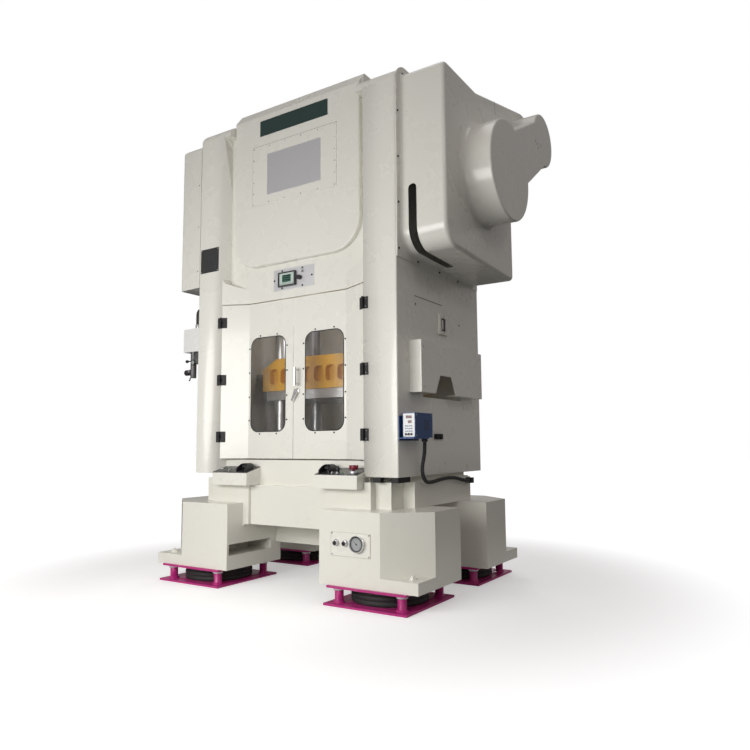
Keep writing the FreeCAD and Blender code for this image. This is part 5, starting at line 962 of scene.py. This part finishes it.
class PRESS_OT_air_unit(bpy.types.Operator):
    """Small knob, collar, gauge and drain of the regulator under the air box"""

    bl_idname = "press.air_unit"
    bl_label = "Air Unit"

    def execute(self, context):
        knob = turned([(0.004, 0), (0.004, 0.034), (0.009, 0.037), (0.0105, 0.044), (0.0095, 0.051), (0.005, 0.054)])
        fit_piece("air_small_knob", knob, "left", (-0.865, AIR_Y, 1.416), "black_plastic", smooth=40)
        collar = turned([(0.0215, 0), (0.0215, 0.01), (0.02, 0.013)], 32)
        fit_piece("air_collar", collar, "left", (-0.866, AIR_Y, 1.338), "bright_metal", smooth=40)
        centre = (-0.822, -0.527, 1.401)
        rim = turned_ring([(0.0185, 0), (0.0185, 0.008), (0.0165, 0.01), (0.015, 0.009), (0.015, 0)])
        fit_piece("air_gauge_rim", rim, "front", centre, "black_steel", smooth=40)
        fit_piece("air_gauge_dial", turned([(0.0152, 0), (0.0152, 0.006), (0.0148, 0.0065)], 32), "front", centre,
                  "grey_plastic")
        drop = np.linspace(0, 1, 14)
        path = np.stack([-0.876 - 0.01 * drop ** 2, np.full(14, AIR_Y), 1.3025 - 0.02 * drop], -1)
        place_piece("air_drain", tube(path, 0.0042, 14), "black_plastic", smooth=40)
        return {"FINISHED"}


class PRESS_OT_consoles(bpy.types.Operator):
    """Lamps on the operator boxes, and the stop button's collar"""

    bl_idname = "press.consoles"
    bl_label = "Operator Boxes"

    def execute(self, context):
        r = context.scene.press_sizes.lamp_radius
        bezel = turned([(r, 0), (r, 0.003), (r * 0.85, 0.005), (r * 0.7, 0.005), (r * 0.68, 0.003)], 22)
        lens = turned([(r * 0.68, 0.002), (r * 0.66, 0.007), (r * 0.4, 0.01), (r * 0.1, 0.0108)], 22)
        for name, spots, colour in (
                ("white", [(0.368, -0.578), (-0.529, -0.535), (0.402, -0.578)], "grey_plastic"),
                ("green", [(0.441, -0.578), (-0.459, -0.545)], "green_plastic"),
                ("red", [(-0.392, -0.545)], "dark_red_plastic")):
            spots = np.array(spots)
            z = CONSOLE_EDGE_Z + (spots[:, 1] - CONSOLE_EDGE_Y) * CONSOLE_RISE + 0.0035
            at = np.column_stack([spots, z])
            fit_piece("lamp_rims_" + name, bezel, "top", at, "bright_metal")
            fit_piece("lamps_" + name, lens, "top", at, colour, smooth=40)
        collar = turned_ring([(0.024, -0.01), (0.024, 0.0035), (0.0225, 0.005), (0.0125, 0.005),
                              (0.0125, -0.01)], 36)
        fit_piece("stop_collar", collar, "top", (0.494, -0.546, 0.6965), "silver_sheet", smooth=40)
        return {"FINISHED"}


class PRESS_OT_hinge_screws(bpy.types.Operator):
    """Screws of the hinge leaves on the uprights"""

    bl_idname = "press.hinge_screws"
    bl_label = "Hinge Screws"

    def execute(self, context):
        heights = [h + d for h in HINGE_HEIGHTS for d in (-0.022, 0.022)]
        for side, body in ((-1, "left"), (1, "right")):
            fixed = [(side * HINGE_X, COLUMN_FRONT - 0.0035, z) for z in heights]
            screw_piece(body + "_column_screws", "front", fixed, 0.0045, 0.0015, 12, "cast_iron")
        return {"FINISHED"}


OPERATORS = [PRESS_OT_stage, PRESS_OT_paint_nodes, PRESS_OT_conduit, PRESS_OT_plates, PRESS_OT_fasteners,
             PRESS_OT_isolators, PRESS_OT_display, PRESS_OT_monitor, PRESS_OT_service, PRESS_OT_side_fittings,
             PRESS_OT_seals, PRESS_OT_air_unit, PRESS_OT_consoles, PRESS_OT_hinge_screws]


class PRESS_PT_panel(bpy.types.Panel):
    """Lists the press's pieces in the 3D view's sidebar"""

    bl_idname = "PRESS_PT_panel"
    bl_label = "Stamping Press"
    bl_space_type = "VIEW_3D"
    bl_region_type = "UI"
    bl_category = "Press"

    def draw(self, context):
        for group in (context.scene.press_sizes, context.scene.press_colours):
            for key in group.__annotations__:
                self.layout.prop(group, key)
        for operator in OPERATORS:
            self.layout.operator(operator.bl_idname)


CLASSES = [PressSizes, PressColours, *OPERATORS, PRESS_PT_panel]


def register():
    for item in CLASSES:
        bpy.utils.register_class(item)
    bpy.types.Scene.press_sizes = bpy.props.PointerProperty(type=PressSizes)
    bpy.types.Scene.press_colours = bpy.props.PointerProperty(type=PressColours)


def unregister():
    del bpy.types.Scene.press_colours
    del bpy.types.Scene.press_sizes
    for item in reversed(CLASSES):
        bpy.utils.unregister_class(item)


def main():
    register()
    for operator in OPERATORS:
        group, name = operator.bl_idname.split(".")
        getattr(getattr(bpy.ops, group), name)()


if __name__ == "__main__":
    main()
